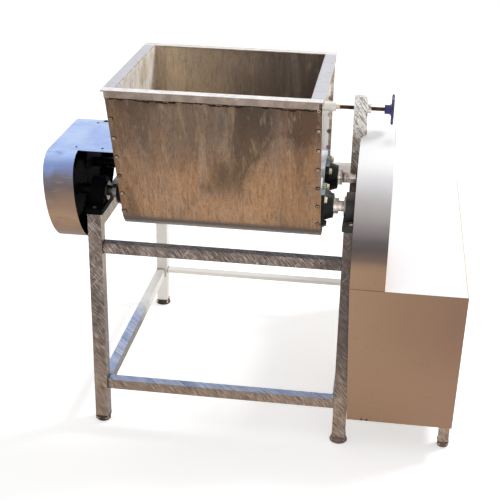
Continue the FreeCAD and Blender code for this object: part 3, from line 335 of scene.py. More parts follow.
def rim_steel(name, top, side):
    """The rims, each with its own tones on its top and on its lips, painted light: pale lit tops
    and darker shaded lips.
    """
    g = Graph(name)
    cloud = g.noise((26, 26, 26), detail=4, rough=0.55, warp=0.4)
    grain = g.noise((60, 60, 420), detail=4, rough=0.6)
    rub = g.slanting(20, 160, 20)
    upper = g.mix(g.span(cloud, 0.36, 0.64, 0.0, 0.3), tone(*top), tone(190, 186, 188))
    lip = g.mix(g.span(cloud, 0.36, 0.64, 0.0, 0.5), tone(*side), tone(100, 86, 76))
    lip = g.over(lip, tone(206, 196, 186), rub, 0.60, 0.74, 0.5)
    colour = g.mix(g.span(g.facing_z, 0.3, 0.8), lip, upper)
    colour = g.over(colour, tone(112, 98, 88), grain, 0.5, 0.3, 0.22)
    return g.close(colour, g.span(grain, 0.3, 0.7, 0.36, 0.46), 0.7, g.bump(grain, 0.12))


def tube_steel():
    """Square tube, its tones by facing painted light: brown-grey fronts as painted reflection with
    fine slanting streaks, bluish tops as painted sky reflection, and painted pale behind.
    """
    g = Graph("tube_steel")
    streak = g.slanting(STREAK_DEGREES, 460, 34, detail=5)
    second = g.slanting(STREAK_DEGREES - 14, 240, 14)
    across = g.slanting(-STREAK_DEGREES, 260, 16)
    cloud = g.noise((14, 14, 9), detail=5, rough=0.6, warp=0.6)
    speck = g.noise((330, 330, 330), detail=3, rough=0.6)
    front = g.mix(g.span(cloud, 0.32, 0.68), tone(92, 78, 71), tone(136, 117, 105))
    front = g.over(front, tone(172, 144, 118), g.z, 0.36, 0.10, 0.6)
    # painted light on the sides facing +X: warm where lit, painted shade higher up
    side = g.mix(g.span(cloud, 0.32, 0.68), tone(150, 128, 104), tone(204, 182, 154))
    side = g.over(side, tone(92, 82, 80), g.z, 0.50, 0.42, 0.85)
    # painted reflection on the tops: bluish sky on the low bars, slate shade on the high ones
    low_top = g.mix(g.span(cloud, 0.32, 0.68), tone(146, 174, 230), tone(190, 208, 242))
    high_top = g.mix(g.span(cloud, 0.32, 0.68), tone(84, 84, 98), tone(124, 124, 140))
    top = g.mix(g.span(g.z, 0.30, 0.45), low_top, high_top)
    colour = g.mix(g.span(g.facing_x, 0.4, 0.8), front, side)
    colour = g.mix(g.span(g.facing_z, 0.4, 0.8), colour, top)
    colour = g.over(colour, tone(198, 188, 180), streak, 0.52, 0.60, 0.6)
    colour = g.over(colour, tone(50, 40, 36), streak, 0.49, 0.40, 0.62)
    colour = g.over(colour, tone(226, 220, 214), second, 0.61, 0.68, 0.6)
    colour = g.over(colour, tone(232, 230, 230), g.all_of(g.span(across, 0.60, 0.66),
                                                           g.span(g.z, 0.4, 0.5)), most=0.55)
    colour = g.over(colour, tone(58, 48, 44), speck, 0.60, 0.70, 0.5)
    up = g.span(g.facing_z, 0.4, 0.8)
    colour = g.over(colour, tone(224, 230, 240), g.all_of(g.span(speck, 0.46, 0.38), up),
                    most=0.8)
    colour = g.over(colour, tone(60, 66, 92), g.all_of(g.span(streak, 0.50, 0.42), up),
                    most=0.5)
    # painted shade: the right leg is painted darker where it stands against the dark of the machine
    right = g.all_of(g.span(g.x, 0.12, 0.20), g.span(g.y, -0.30, -0.40), g.span(g.z, 0.06, 0.36))
    colour = g.over(colour, tone(66, 55, 51), right, most=0.75)
    # the far side stands in the light
    away = g.math("ADD", g.y, g.span(cloud, 0.2, 0.8, -0.06, 0.06))
    colour = g.over(colour, tone(240, 236, 229), away, 0.0, 0.26, 0.88)
    rough = g.span(streak, 0.3, 0.7, 0.38, 0.52)
    return g.close(colour, rough, 0.5, g.bump(streak, 0.3))


def post_steel():
    """The lock post, pale and mottled at its top and streaked like the legs lower down."""
    g = Graph("post_steel")
    streak = g.slanting(STREAK_DEGREES, 240, 26)
    blots = g.noise((120, 120, 70), detail=5, rough=0.65, warp=1.4)
    cloud = g.noise((40, 40, 22), detail=5, rough=0.65, warp=0.9)
    height = g.math("ADD", g.z, g.span(cloud, 0.2, 0.8, -0.03, 0.03))
    colour = g.ramp(height, 0.72, 0.95, [(0.72, tone(126, 113, 104)), (0.95, tone(250, 248, 244)),
                                         (0.84, tone(190, 180, 172)), (0.90, tone(236, 230, 224))])
    colour = g.over(colour, tone(104, 90, 82), streak, 0.48, 0.38, 0.85)
    colour = g.over(colour, tone(86, 74, 68), blots, 0.45, 0.36, 0.8)
    colour = g.over(colour, tone(255, 253, 250), streak, 0.57, 0.65, 0.6)
    edge = g.lines(cloud, 0.03)
    colour = g.over(colour, tone(70, 60, 56), edge, most=0.6)
    return g.close(colour, g.span(streak, 0.3, 0.7, 0.34, 0.5), 0.2, g.bump(streak, 0.3))


def guard_sheet():
    """The gear guard, its tones painted light: pale and bluish on top as painted sky reflection,
    browner downwards as painted reflection of the ground, and painted near black within as shade.
    """
    g = Graph("guard_sheet")
    cloud = g.noise((9, 9, 9), detail=4, rough=0.6, warp=0.6)
    wipe = g.noise((16, 60, 60), detail=4, rough=0.6, warp=0.3)
    height = g.math("ADD", g.z, g.span(cloud, 0.2, 0.8, -0.014, 0.014))
    colour = g.ramp(height, 0.58, 0.87, [
        (0.58, tone(116, 92, 76)), (0.87, tone(188, 212, 255)), (0.641, tone(152, 121, 96)),
        (0.682, tone(176, 145, 117)), (0.735, tone(148, 123, 108)), (0.775, tone(116, 105, 104)),
        (0.800, tone(123, 117, 128)), (0.824, tone(140, 156, 204)), (0.852, tone(152, 176, 230))])
    up = g.mix(g.span(cloud, 0.35, 0.65), tone(172, 196, 252), tone(196, 218, 255))
    colour = g.over(colour, up, g.facing_z, 0.5, 0.95, 0.85)
    colour = g.over(colour, tone(206, 204, 208), wipe, 0.60, 0.76, 0.25)
    colour = g.over(colour, tone(98, 88, 88), wipe, 0.42, 0.28, 0.3)
    # painted shade: the guard's inside faces are painted near black
    away = g.node("VectorMath", {"operation": "SUBTRACT"})
    g.feed(away.inputs[0], g.place.outputs["Object"])
    away.inputs[1].default_value = middle_of("gear_guard")
    outward = g.node("VectorMath", {"operation": "DOT_PRODUCT"})
    g.feed(outward.inputs[0], away.outputs["Vector"])
    g.feed(outward.inputs[1], g.place.outputs["Normal"])
    within = g.span(outward.outputs["Value"], 0.004, -0.004)
    colour = g.mix(within, colour, tone(5, 5, 5))
    relief = g.bump(wipe, 0.1, 0.0005, g.bump(cloud, 0.5, 0.003))
    metal = g.math("MULTIPLY", g.span(within, 1.0, 0.0), g.span(g.facing_z, 0.6, 0.95, 0.5, 0.9))
    return g.close(colour, g.span(within, 0.0, 1.0, 0.40, 0.9), metal, relief, gloss=0.06)


def cover_sheet(name, upward):
    """Satin sheet of the drive covers, its tones painted light: white where it curves over towards
    the light, brown as painted reflection where it is upright.
    """
    g = Graph(name)
    cloud = g.noise((6, 6, 6), detail=4, rough=0.55, warp=0.4)
    grain = g.noise((420, 420, 40), detail=3, rough=0.6)
    mottle = g.noise((46, 46, 46), detail=4, rough=0.6)
    height = g.math("ADD", g.z, g.span(cloud, 0.2, 0.8, -0.006, 0.006))
    front = g.ramp(height, 0.16, 0.84, [
        (0.16, tone(154, 121, 95)), (0.84, tone(250, 250, 251)), (0.541, tone(132, 105, 84)),
        (0.580, tone(127, 103, 83)), (0.603, tone(102, 84, 74)), (0.628, tone(81, 72, 70)),
        (0.652, tone(86, 79, 79)), (0.696, tone(134, 126, 126)), (0.744, tone(186, 181, 180)),
        (0.789, tone(225, 223, 227))])
    brown = g.span(height, 0.60, 0.56)
    across = g.ramp(g.x, 0.25, 0.55, [(0.25, tone(156, 125, 98)), (0.55, tone(134, 103, 83)),
                                      (0.38, tone(146, 115, 90))])
    low = g.span(height, 0.42, 0.20, 0.0, 0.6)
    across = g.mix(low, across, tone(156, 122, 96))
    front = g.mix(brown, front, across)
    darkened = g.all_of(g.span(mottle, 0.46, 0.28), g.span(g.z, 0.72, 0.60))
    front = g.over(front, tone(126, 99, 78), darkened, most=0.2)
    front = g.over(front, tone(98, 80, 70), grain, 0.42, 0.28, 0.08)
    up = g.span(g.facing_z, 0.75, 0.9)
    colour = g.mix(up, front, upward)
    # a thin warm line along the folded edges of the tops, a painted reflection where each fold
    # turns down
    hood_x, hood_y, hood_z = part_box("drive_hood")[1]
    box_x, box_y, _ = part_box("cabinet_cover")[1]

    def near(place, edge, start, full):
        return g.span(place, edge - start, edge - full)

    hood_edge = g.math("MAXIMUM", near(g.y, hood_y, 0.004, 0.001), near(g.x, hood_x, 0.004, 0.001))
    box_edge = g.math("MAXIMUM", near(g.y, box_y, 0.006, 0.002), near(g.x, box_x, 0.005, 0.002))
    edges = (g.all_of(near(g.z, hood_z, 0.01, 0.005), hood_edge),
             g.all_of(near(g.z, hood_z, 0.1, 0.15), box_edge))
    line = g.all_of(g.math("MAXIMUM", *edges), up)
    colour = g.over(colour, tone(206, 176, 146), line, most=0.6)
    relief = g.bump(grain, 0.08, 0.0004, g.bump(cloud, 0.4, 0.003))
    return g.close(colour, g.span(mottle, 0.3, 0.7, 0.40, 0.46), 0.5, relief)


def bright_shaft():
    """Turned steel, bright on the drive side and painted dark as shade inside the gear guard."""
    g = Graph("bright_shaft")
    turning = g.noise((900, 30, 30), detail=3, rough=0.5)
    rings = g.noise((150, 4, 4), detail=3, rough=0.6)
    cloud = g.noise((50, 50, 50), detail=4, rough=0.6)
    colour = g.mix(g.span(cloud, 0.3, 0.7), tone(132, 116, 106), tone(232, 222, 214))
    colour = g.over(colour, tone(74, 52, 42), rings, 0.46, 0.36, 0.85)
    colour = g.over(colour, tone(96, 74, 60), cloud, 0.40, 0.28, 0.5)
    # painted shade: near black inside the gear guard
    colour = g.over(colour, tone(20, 18, 17), g.x, -0.38, -0.44, 0.95)
    return g.close(colour, g.span(turning, 0.3, 0.7, 0.22, 0.36), 0.85, g.bump(turning, 0.2))


def painted_iron(name, light, dark, wear_and_highlight, rough=0.45, gloss=0.4):
    """Cast iron under paint: gritty, with pale wear in its grit and a painted highlight along its
    upper faces.
    """
    g = Graph(name)
    grit = g.noise((160, 160, 160), detail=5, rough=0.65)
    cloud = g.noise((22, 22, 22), detail=4, rough=0.6)
    colour = g.mix(g.span(cloud, 0.3, 0.7), tone(*dark), tone(*light))
    # painted highlight on the upper faces
    colour = g.over(colour, tone(*wear_and_highlight), g.facing_z, 0.62, 0.92, 0.75)
    colour = g.over(colour, tone(*wear_and_highlight), grit, 0.66, 0.8, 0.3)
    return g.close(colour, g.span(grit, 0.3, 0.7, rough - 0.1, rough + 0.12), 0.0,
                   g.bump(grit, 0.5, 0.001), gloss)


def bearing_iron():
    """The flange bearings: dark green castings painted near black as shade, with painted pale teal
    highlights only on the edges of their flanges.
    """
    g = Graph("green_iron")
    grit = g.noise((160, 160, 160), detail=5, rough=0.65)
    cloud = g.noise((22, 22, 22), detail=4, rough=0.6)
    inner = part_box("right_flange_bearings")[0][0]
    colour = g.mix(g.span(cloud, 0.3, 0.7), tone(10, 13, 13), tone(26, 33, 32))
    # painted highlights: pale teal on the upward faces at the flanges' inner edges, grey on other
    # upward faces
    edge = g.all_of(g.span(g.x, inner + 0.014, inner + 0.010), g.span(g.facing_z, 0.55, 0.85))
    colour = g.over(colour, tone(158, 190, 194), edge, most=0.85)
    colour = g.over(colour, tone(72, 70, 66), g.facing_z, 0.7, 0.95, 0.4)
    colour = g.over(colour, tone(96, 92, 86), grit, 0.64, 0.76, 0.3)
    return g.close(colour, g.span(grit, 0.3, 0.7, 0.35, 0.55), 0.0, g.bump(grit, 0.5, 0.001), 0.22)


def rubbed(name, light, dark, rough, metal, grain=90, gloss=0.5):
    """A small part handled and rubbed: two tones, fine grit, and painted shade, near black, inside
    the gear guard.
    """
    g = Graph(name)
    grit = g.noise((grain, grain, grain), detail=6, rough=0.65, warp=0.5)
    cloud = g.noise((24, 24, 24), detail=4, rough=0.6)
    colour = g.mix(g.span(cloud, 0.3, 0.7), tone(*dark), tone(*light))
    colour = g.over(colour, tone(*dark), grit, 0.55, 0.75, 0.3)
    # painted shade: near black inside the gear guard
    colour = g.over(colour, tone(16, 15, 16), g.x, -0.42, -0.45, 0.9)
    return g.close(colour, g.span(grit, 0.3, 0.7, rough - 0.08, rough + 0.1), metal,
                   g.bump(grit, 0.3, 0.0006), gloss)


def shaded(name, low_tone, high_tone, low, high, metal=0.0):
    """A part painted dark as shade low down and pale as lit above, mottled where the two meet."""
    g = Graph(name)
    grit = g.noise((200, 200, 200), detail=5, rough=0.65)
    cloud = g.noise((40, 40, 40), detail=4, rough=0.6)
    height = g.math("ADD", g.z, g.span(cloud, 0.2, 0.8, -0.012, 0.012))
    colour = g.mix(g.span(height, low, high), tone(*low_tone), tone(*high_tone))
    colour = g.over(colour, tone(*low_tone), grit, 0.58, 0.74, 0.45)
    return g.close(colour, g.span(grit, 0.3, 0.7, 0.32, 0.5), metal, g.bump(grit, 0.3, 0.0006), 0.3)


TROUGH = trough_steel()
ENDS = end_steel()
TUBE = tube_steel()
COVER = cover_sheet("cover_sheet", tone(249, 249, 250))
SHAFT = bright_shaft()
GREEN_IRON = bearing_iron()
BLACK_IRON = painted_iron("black_iron", (30, 28, 27), (12, 11, 11), (92, 82, 76))
# painted shade: the parts inside the gear guard are near black
GUARD_SHADE_IRON = painted_iron("guard_shade_iron", (14, 14, 16), (6, 6, 7), (24, 26, 36), 0.7, 0.05)
GREY_IRON = painted_iron("grey_iron", (70, 70, 72), (34, 34, 36), (90, 90, 92), 0.5)
BEARING = rubbed("bearing_steel", (150, 146, 140), (84, 80, 76), 0.35, 0.9)
PAD = shaded("pad_plate", (28, 38, 40), (226, 230, 246), 0.715, 0.755)
ZINC = rubbed("zinc_bolts", (206, 198, 186), (96, 84, 74), 0.35, 0.8)
FLANGE_BOLT = shaded("flange_bolt", (52, 40, 33), (226, 212, 180), 0.69, 0.75, 0.6)
HEADS = rubbed("screw_steel", (206, 190, 174), (92, 74, 62), 0.3, 0.8)
RUBBER = rubbed("black_rubber", (40, 38, 37), (16, 15, 15), 0.7, 0.0)
PADDLE = rubbed("paddle_steel", (200, 194, 186), (140, 130, 120), 0.38, 0.8, 40)
BRASS = rubbed("brass", (226, 206, 160), (168, 138, 92), 0.33, 0.8)
TIP = rubbed("tip_steel", (246, 232, 214), (206, 180, 152), 0.4, 0.4)
BLUE = rubbed("blue_wheel", (62, 58, 128), (14, 15, 52), 0.34, 0.0)
RUSTED = rubbed("screw_rod", (118, 84, 64), (50, 26, 18), 0.5, 0.5, 240)
# dirt and painted shade: the dark of the screw washers and the rim seam
GRIME_AND_SHADE = rubbed("grime_and_shade", (66, 46, 36), (34, 22, 17), 0.7, 0.1, 300, 0.2)
SHOE = rubbed("shoe_plastic", (128, 106, 94), (64, 46, 38), 0.5, 0.1)
WELD = rubbed("weld_metal", (120, 112, 108), (58, 50, 46), 0.45, 0.7, 300)
POST = post_steel()

LOOKS = {
    "trough_sheet": TROUGH, "left_end_plate": ENDS, "right_end_plate": ENDS,
    # painted light on the rims: each gets its own pale lit top tone and darker shaded lip tone
    "front_rim": rim_steel("front_rim_steel", (255, 253, 251), (154, 138, 127)),
    "rear_rim": rim_steel("rear_rim_steel", (244, 238, 230), (196, 184, 172)),
    "side_rims": rim_steel("side_rim_steel", (208, 208, 216), (206, 198, 190)),
    "lock_boss": rubbed("boss_steel", (255, 253, 250), (226, 220, 214), 0.4, 0.1),
    "bearing_pads": PAD, "shaft_seals": rubbed("seal", (222, 218, 208), (184, 180, 170), 0.5, 0),
    "gear_guard": guard_sheet(), "drive_hood": COVER, "cabinet_cover": COVER,
    "cabinet_front": cover_sheet("cabinet_sheet", tone(120, 96, 78)),
    "drive_inner_panel": cover_sheet("inner_sheet", tone(150, 130, 116)),
    "lock_post": POST, "front_shaft": SHAFT, "rear_shaft": SHAFT,
    "front_shaft_collars": SHAFT, "rear_shaft_collars": SHAFT, "countershaft": SHAFT,
    "motor_shaft": SHAFT, "left_flange_bearings": GREEN_IRON,
    "right_flange_bearings": GREEN_IRON, "left_pillow_block": GUARD_SHADE_IRON,
    "right_pillow_block": BLACK_IRON, "countershaft_bearings": GREEN_IRON,
    "flange_inserts": BEARING, "pillow_inserts": BEARING, "flange_bolts": ZINC,
    "pillow_bolts": ZINC, "trough_screws": HEADS, "front_timing_gear": GUARD_SHADE_IRON,
    "rear_timing_gear": GUARD_SHADE_IRON, "mixer_sprocket": GREY_IRON, "counter_sprocket": GREY_IRON,
    "large_pulley": GREY_IRON, "motor_pulley": GREY_IRON, "front_paddles": PADDLE,
    "rear_paddles": PADDLE, "handwheel": BLUE, "lock_screw": RUSTED, "lock_tip": TIP,
    "feet": SHOE, "v_belts": RUBBER, "motor_fan": RUBBER,
    "motor_housing": rubbed("motor_paint", (62, 82, 106), (38, 52, 70), 0.45, 0.1),
    "drive_chain": rubbed("chain_steel", (96, 90, 84), (40, 36, 32), 0.4, 0.8),
}


def dress(thing, material):
    thing.data.materials.clear()
    thing.data.materials.append(material)


for name in nodes:
    dress(nodes[name], LOOKS.get(name, TUBE))


SAME_SPOT = 1e-6


def islands(name):
    """The separate solids of a node, as lowest corner, highest corner and mean of the corners."""
    made = bmesh.new()
    made.from_mesh(nodes[name].data)
    bmesh.ops.remove_doubles(made, verts=made.verts, dist=SAME_SPOT)
    left = set(made.verts)
    found = []
    while left:
        reach = [left.pop()]
        seen = list(reach)
        while reach:
            corner = reach.pop()
            for edge in corner.link_edges:
                other = edge.other_vert(corner)
                if other in left:
                    left.remove(other)
                    reach.append(other)
                    seen.append(other)
        spots = [corner.co.copy() for corner in seen]
        low = Vector([min(spot[k] for spot in spots) for k in range(3)])
        high = Vector([max(spot[k] for spot in spots) for k in range(3)])
        found.append((low, high, sum(spots, Vector()) / len(spots)))
    made.free()
    found.sort(key=lambda island: tuple(round(value, 5) for value in island[2]))
    return found


def finish_piece(made, name, body, material, replaced=(), smooth=35):
    """Turns the made form into a piece, sharp where its faces meet at more than smooth degrees."""
    bmesh.ops.recalc_face_normals(made, faces=made.faces)
    mesh = bpy.data.meshes.new(name)
    made.to_mesh(mesh)
    made.free()
    mesh.materials.append(material)
    piece = bpy.data.objects.new(name, mesh)
    bpy.context.scene.collection.objects.link(piece)
    for face in mesh.polygons:
        face.use_smooth = True
    mesh.set_sharp_from_angle(angle=math.radians(smooth))
    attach(piece, body)
    if replaced:
        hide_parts(*replaced)


def facing(axis):
    """A turn that lays local Z along this axis."""
    return Vector((0, 0, 1)).rotation_difference(Vector(axis).normalized()).to_matrix().to_4x4()


def angles(steps):
    return [2 * math.pi * k / steps for k in range(steps)]


def skin(made, rings, ends=True):
    """Faces between rings of corners, closed at both ends, or else run round to the first ring."""
    loops = [[made.verts.new(spot) for spot in ring] for ring in rings]
    following = loops[1:] if ends else loops[1:] + loops[:1]
    for first, second in zip(loops, following):
        for k in range(len(first)):
            after = (k + 1) % len(first)
            made.faces.new((first[k], first[after], second[after], second[k]))
    if ends:
        made.faces.new(list(reversed(loops[0])))
        made.faces.new(loops[-1])


def turned(made, section, place, axis, steps=24, sides=0):
    """Adds a closed turned form. The section's rows are height, radius, and 1 if many-sided."""
    seat = Matrix.Translation(place) @ facing(axis)
    rings = []
    for height, radius, many in section:
        ring = []
        for angle in angles(steps):
            reach = radius
            if many and sides:
                half = math.pi / sides
                reach = radius * math.cos(half) / math.cos(angle % (2 * half) - half)
            spot = Vector((reach * math.cos(angle), reach * math.sin(angle), height))
            ring.append(seat @ spot)
        rings.append(ring)
    skin(made, rings)


MM = 0.001


def scaled(section):
    """A section written in millimetres, in metres."""
    return [(height * MM, radius * MM, many) for height, radius, many in section]


WASHER = scaled([(-0.3, 6.4, 0), (0.5, 6.4, 0), (0.8, 6.1, 0), (0.8, 5.4, 0)])
PAN_HEAD = scaled([(0, 5.0, 0), (1.4, 5.0, 0), (2.6, 4.4, 0), (3.1, 3.3, 0), (3.1, 2.5, 1),
                   (1.2, 2.4, 1)])
SHELF_HEAD = scaled([(0, 3.2, 0), (0.5, 3.1, 0), (1.1, 2.5, 0), (1.5, 1.5, 0), (1.1, 1.2, 0)])
HEX_NUT = scaled([(0, 6.2, 0), (0.8, 6.2, 0), (0.8, 5.3, 1), (3.8, 5.3, 1), (4.4, 4.6, 0),
                  (4.4, 2.9, 0), (5.6, 2.8, 0), (5.8, 2.2, 0)])
HEX_BOLT = scaled([(0, 10.5, 0), (1.4, 10.5, 0), (1.4, 8.9, 1), (6.2, 8.9, 1), (7.0, 7.6, 0)])
NIPPLE = scaled([(0, 3.4, 1), (4, 3.4, 1), (4, 2.2, 0), (7, 2.0, 0), (8.5, 2.9, 0),
                 (10.5, 2.9, 0), (11.8, 1.6, 0)])
PAN_THROUGH = 5 * MM
HEAD_HEIGHT = 3 * MM
BOLT_HEAD = 7 * MM
SHELF_LIMIT = 2 * MM
NIPPLE_SUNK = 6 * MM
SHANK_RADIUS = 5 * MM


def make_screws():
    """Socket screws down both ends of the trough, with the nuts that hold them inside."""
    made = bmesh.new()
    washers = bmesh.new()
    middle = middle_of("trough_sheet")
    lean = math.radians(WALL_LEAN)
    for low, high, centre in islands("trough_screws"):
        size = high - low
        if size.z < SHELF_LIMIT:
            turned(washers, SHELF_HEAD, (centre.x, centre.y, low.z), (0, 0, 1), 18)
            continue
        outward = Vector((0, -math.cos(lean), -math.sin(lean)))
        if centre.y > middle.y:
            outward = Vector((0, 1, 0))
        seat = centre - outward * HEAD_HEIGHT / 2
        # the dark washer under each head is dirt and painted shade, the screw's shadow on the sheet
        turned(washers, WASHER, seat, outward, 24)
        turned(made, PAN_HEAD, seat, outward, 24, 6)
        turned(made, HEX_NUT, seat - outward * PAN_THROUGH, -outward, 24, 6)
    finish_piece(made, "socket_screws", "trough", HEADS, ["trough_screws"])
    finish_piece(washers, "screw_washers", "trough", GRIME_AND_SHADE)


def make_bolts():
    """Hexagon bolts with washers on the flange bearings and the pillow blocks."""
    made = bmesh.new()
    brass = bmesh.new()
    centre_x = middle_of("trough_sheet").x
    between = Vector(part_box("rear_shaft")[0]) - Vector(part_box("front_shaft")[0])
    line = math.atan2(between.z, between.y)
    upright = Vector((0, -math.sin(line), math.cos(line)))
    for low, high, _ in islands("flange_bolts"):
        side = 1 if low.x > centre_x else -1
        middle = (low + high) / 2
        if high.x - low.x < 2 * BOLT_HEAD:
            turned(brass, NIPPLE, middle - upright * NIPPLE_SUNK, upright, 18, 6)
            continue
        end = high.x if side > 0 else low.x
        seat = Vector((end - side * BOLT_HEAD, middle.y, middle.z))
        turned(made, HEX_BOLT, seat, (side, 0, 0), 24, 6)
        shank = [(0, SHANK_RADIUS, 0), (high.x - low.x - BOLT_HEAD, SHANK_RADIUS, 0)]
        turned(made, shank, seat, (-side, 0, 0), 16)
    finish_piece(made, "hex_bolts", "trough", FLANGE_BOLT, ["flange_bolts"])
    finish_piece(brass, "grease_nipples", "trough", BRASS)
    made = bmesh.new()
    for low, high, _ in islands("pillow_bolts"):
        middle = (low + high) / 2
        turned(made, HEX_BOLT, (middle.x, middle.y, low.z), (0, 0, 1), 24, 6)
    finish_piece(made, "block_bolts", "frame", ZINC, ["pillow_bolts"])


WHEEL_LOBES = 9
WHEEL_STEPS = 108
SCALLOP_START = 33.0
SCALLOP_RUN = 11.0
SCALLOP_DEPTH = 3.4
# the wheel's section from its bore outwards and back, as reach and place along the screw
WHEEL_SECTION = ((6.0, 0), (12.0, 0), (13.0, 1), (13.0, 13), (15.0, 17), (21.0, 20.0), (30.0, 21.5),
                 (35.0, 19.5), (39.0, 18.6), (42.4, 19.8), (44.0, 22.6), (42.6, 25.6),
                 (39.4, 26.8), (35.6, 26.2), (31.0, 24.4), (16.0, 24.0), (11.0, 25.4),
                 (6.0, 25.4))


def make_wheel():
    """The handwheel, dished, with finger scallops round its rim."""
    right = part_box("handwheel")[1][0]
    centre = middle_of("handwheel")
    made = bmesh.new()
    rings = []
    last = max(place for _, place in WHEEL_SECTION)
    for angle in angles(WHEEL_STEPS):
        dip = (1 - math.cos(WHEEL_LOBES * angle)) / 2
        ring = []
        for reach, place in WHEEL_SECTION:
            share = max(0.0, (reach - SCALLOP_START) / SCALLOP_RUN)
            out = (reach - SCALLOP_DEPTH * dip * share) * MM
            ring.append((right - (last - place) * MM, centre.y + out * math.cos(angle),
                         centre.z + out * math.sin(angle)))
        rings.append(ring)
    skin(made, rings, ends=False)
    finish_piece(made, "scalloped_wheel", "lock_screw", BLUE, ["handwheel"], 50)


THREAD_PITCH = 1.75 * MM
THREAD_DEPTH = 0.9 * MM
THREAD_FADE = 3 * MM
THREAD_STEPS = 24
THREAD_RINGS = 6


def make_thread():
    """The lock screw with its real thread between two plain ends."""
    low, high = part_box("lock_screw")
    centre = middle_of("lock_screw")
    radius = (high[1] - low[1]) / 2
    made = bmesh.new()
    count = int((high[0] - low[0]) / THREAD_PITCH * THREAD_RINGS)
    rings = []
    for k in range(count + 1):
        along = low[0] + (high[0] - low[0]) * k / count
        near_end = min(along - low[0], high[0] - along)
        ring = []
        for j, angle in enumerate(angles(THREAD_STEPS)):
            turn = ((along - low[0]) / THREAD_PITCH + j / THREAD_STEPS) % 1
            depth = THREAD_DEPTH * abs(2 * turn - 1) * min(1.0, near_end / THREAD_FADE)
            reach = radius - depth
            ring.append((along, centre.y + reach * math.cos(angle),
                         centre.z + reach * math.sin(angle)))
        rings.append(ring)
    skin(made, rings)
    finish_piece(made, "threaded_rod", "lock_screw", RUSTED, ["lock_screw"], 20)


# each shoe's outline from the floor up: height, reach, and how square it is there
SHOE_RISE = ((0.0, 0.78, 0.0), (0.8, 0.92, 0.0), (2.6, 0.99, 0.0), (5.5, 1.0, 0.05),
             (8.0, 0.97, 0.2), (11.5, 0.88, 0.55), (15.0, 0.80, 0.85), (18.0, 0.775, 1.0),
             (18.8, 0.755, 1.0))
SHOE_STEPS = 48
SHOE_WALL = 1.6 * MM
LEG_HALF = 19 * MM
CABINET_HALF = 15 * MM
SHOE_CORNER = 1.3
CAP_CORNER = 1.28


def squared(angle, half, corner):
    """How far a square reaches at this angle, its corners cut back to this share of its half."""
    return half * min(1 / max(abs(math.cos(angle)), abs(math.sin(angle))), corner)


def make_shoes():
    """Moulded shoes under the legs, round on the floor and square where they grip the tube."""
    made = bmesh.new()
    for low, high, _ in islands("feet"):
        middle = (low + high) / 2
        radius = (high.x - low.x) / 2
        under_leg = middle.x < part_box("front_right_leg")[1][0]
        grip = (LEG_HALF if under_leg else CABINET_HALF) + SHOE_WALL
        rings = []
        for height, reach, square in SHOE_RISE:
            ring = []
            for angle in angles(SHOE_STEPS):
                corner = squared(angle, grip, SHOE_CORNER)
                out = radius * reach * (1 - square) + corner * square
                ring.append((middle.x + out * math.cos(angle), middle.y + out * math.sin(angle),
                             height * MM))
            rings.append(ring)
        skin(made, rings)
    finish_piece(made, "leg_shoes", "frame", SHOE, ["feet"], 50)


# the plug's dome: height and reach
CAP_RISE = ((0, 1.0), (3.0, 0.99), (5.0, 0.93), (6.6, 0.80), (7.6, 0.60), (8.0, 0.3))


def make_post_cap():
    """The domed plug that closes the lock post."""
    low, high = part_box("lock_post")
    half = (high[1] - low[1]) / 2
    centre_x = low[0] + half
    centre_y = (low[1] + high[1]) / 2
    made = bmesh.new()
    rings = []
    for height, reach in CAP_RISE:
        ring = []
        for angle in angles(SHOE_STEPS):
            out = squared(angle, half * reach, CAP_CORNER)
            ring.append((centre_x + out * math.cos(angle), centre_y + out * math.sin(angle),
                         high[2] + height * MM))
        rings.append(ring)
    skin(made, rings)
    finish_piece(made, "post_cap", "frame", POST, smooth=40)


PLUG = scaled([(-1.6, 2.4, 0), (0, 2.4, 0), (0, 3.3, 0), (0.5, 3.2, 0), (0.9, 2.4, 0),
               (0.5, 1.4, 0)])
PLUG_GAP = 15 * MM
PLUG_INSET = 44.5 * MM
PLUG_UP = 4 * MM


def make_hole_plugs():
    """Dark plugs in the two small holes low on the cabinet's front."""
    low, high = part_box("cabinet_front")
    frame_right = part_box("front_right_leg")[1][0]
    made = bmesh.new()
    for k in range(2):
        seat = (frame_right + PLUG_INSET + k * PLUG_GAP, low[1], low[2] + PLUG_UP)
        turned(made, PLUG, seat, (0, -1, 0), 20)
    finish_piece(made, "hole_plugs", "frame", RUBBER)


BEAD_STEP = 2.4 * MM
BEAD_RADIUS = 1.9 * MM
BEAD_SIDES = 8
BEAD_INSET = 0.6 * MM
RIPPLE_STEPS = 3
RIPPLE = 0.22
SWELL = 0.12
SWELL_RATE = 0.37
BEAD_TAPER = 0.35


def bead(made, start, end, phase):
    """A run of weld from one point to another, swelling and shrinking in its ripples."""
    run = end - start
    last = RIPPLE_STEPS * max(3, int(run.length / BEAD_STEP))
    turn = facing(run)
    rings = []
    for k in range(last + 1):
        ripple = RIPPLE * math.sin(2 * math.pi * k / RIPPLE_STEPS + phase)
        swell = 1 + ripple + SWELL * math.sin(k * SWELL_RATE + phase)
        radius = BEAD_RADIUS * swell * (BEAD_TAPER if k in (0, last) else 1)
        ring = []
        for angle in angles(BEAD_SIDES):
            spot = turn @ Vector((radius * math.cos(angle), radius * math.sin(angle), 0))
            ring.append(start + run * (k / last) + spot)
        rings.append(ring)
    skin(made, rings)


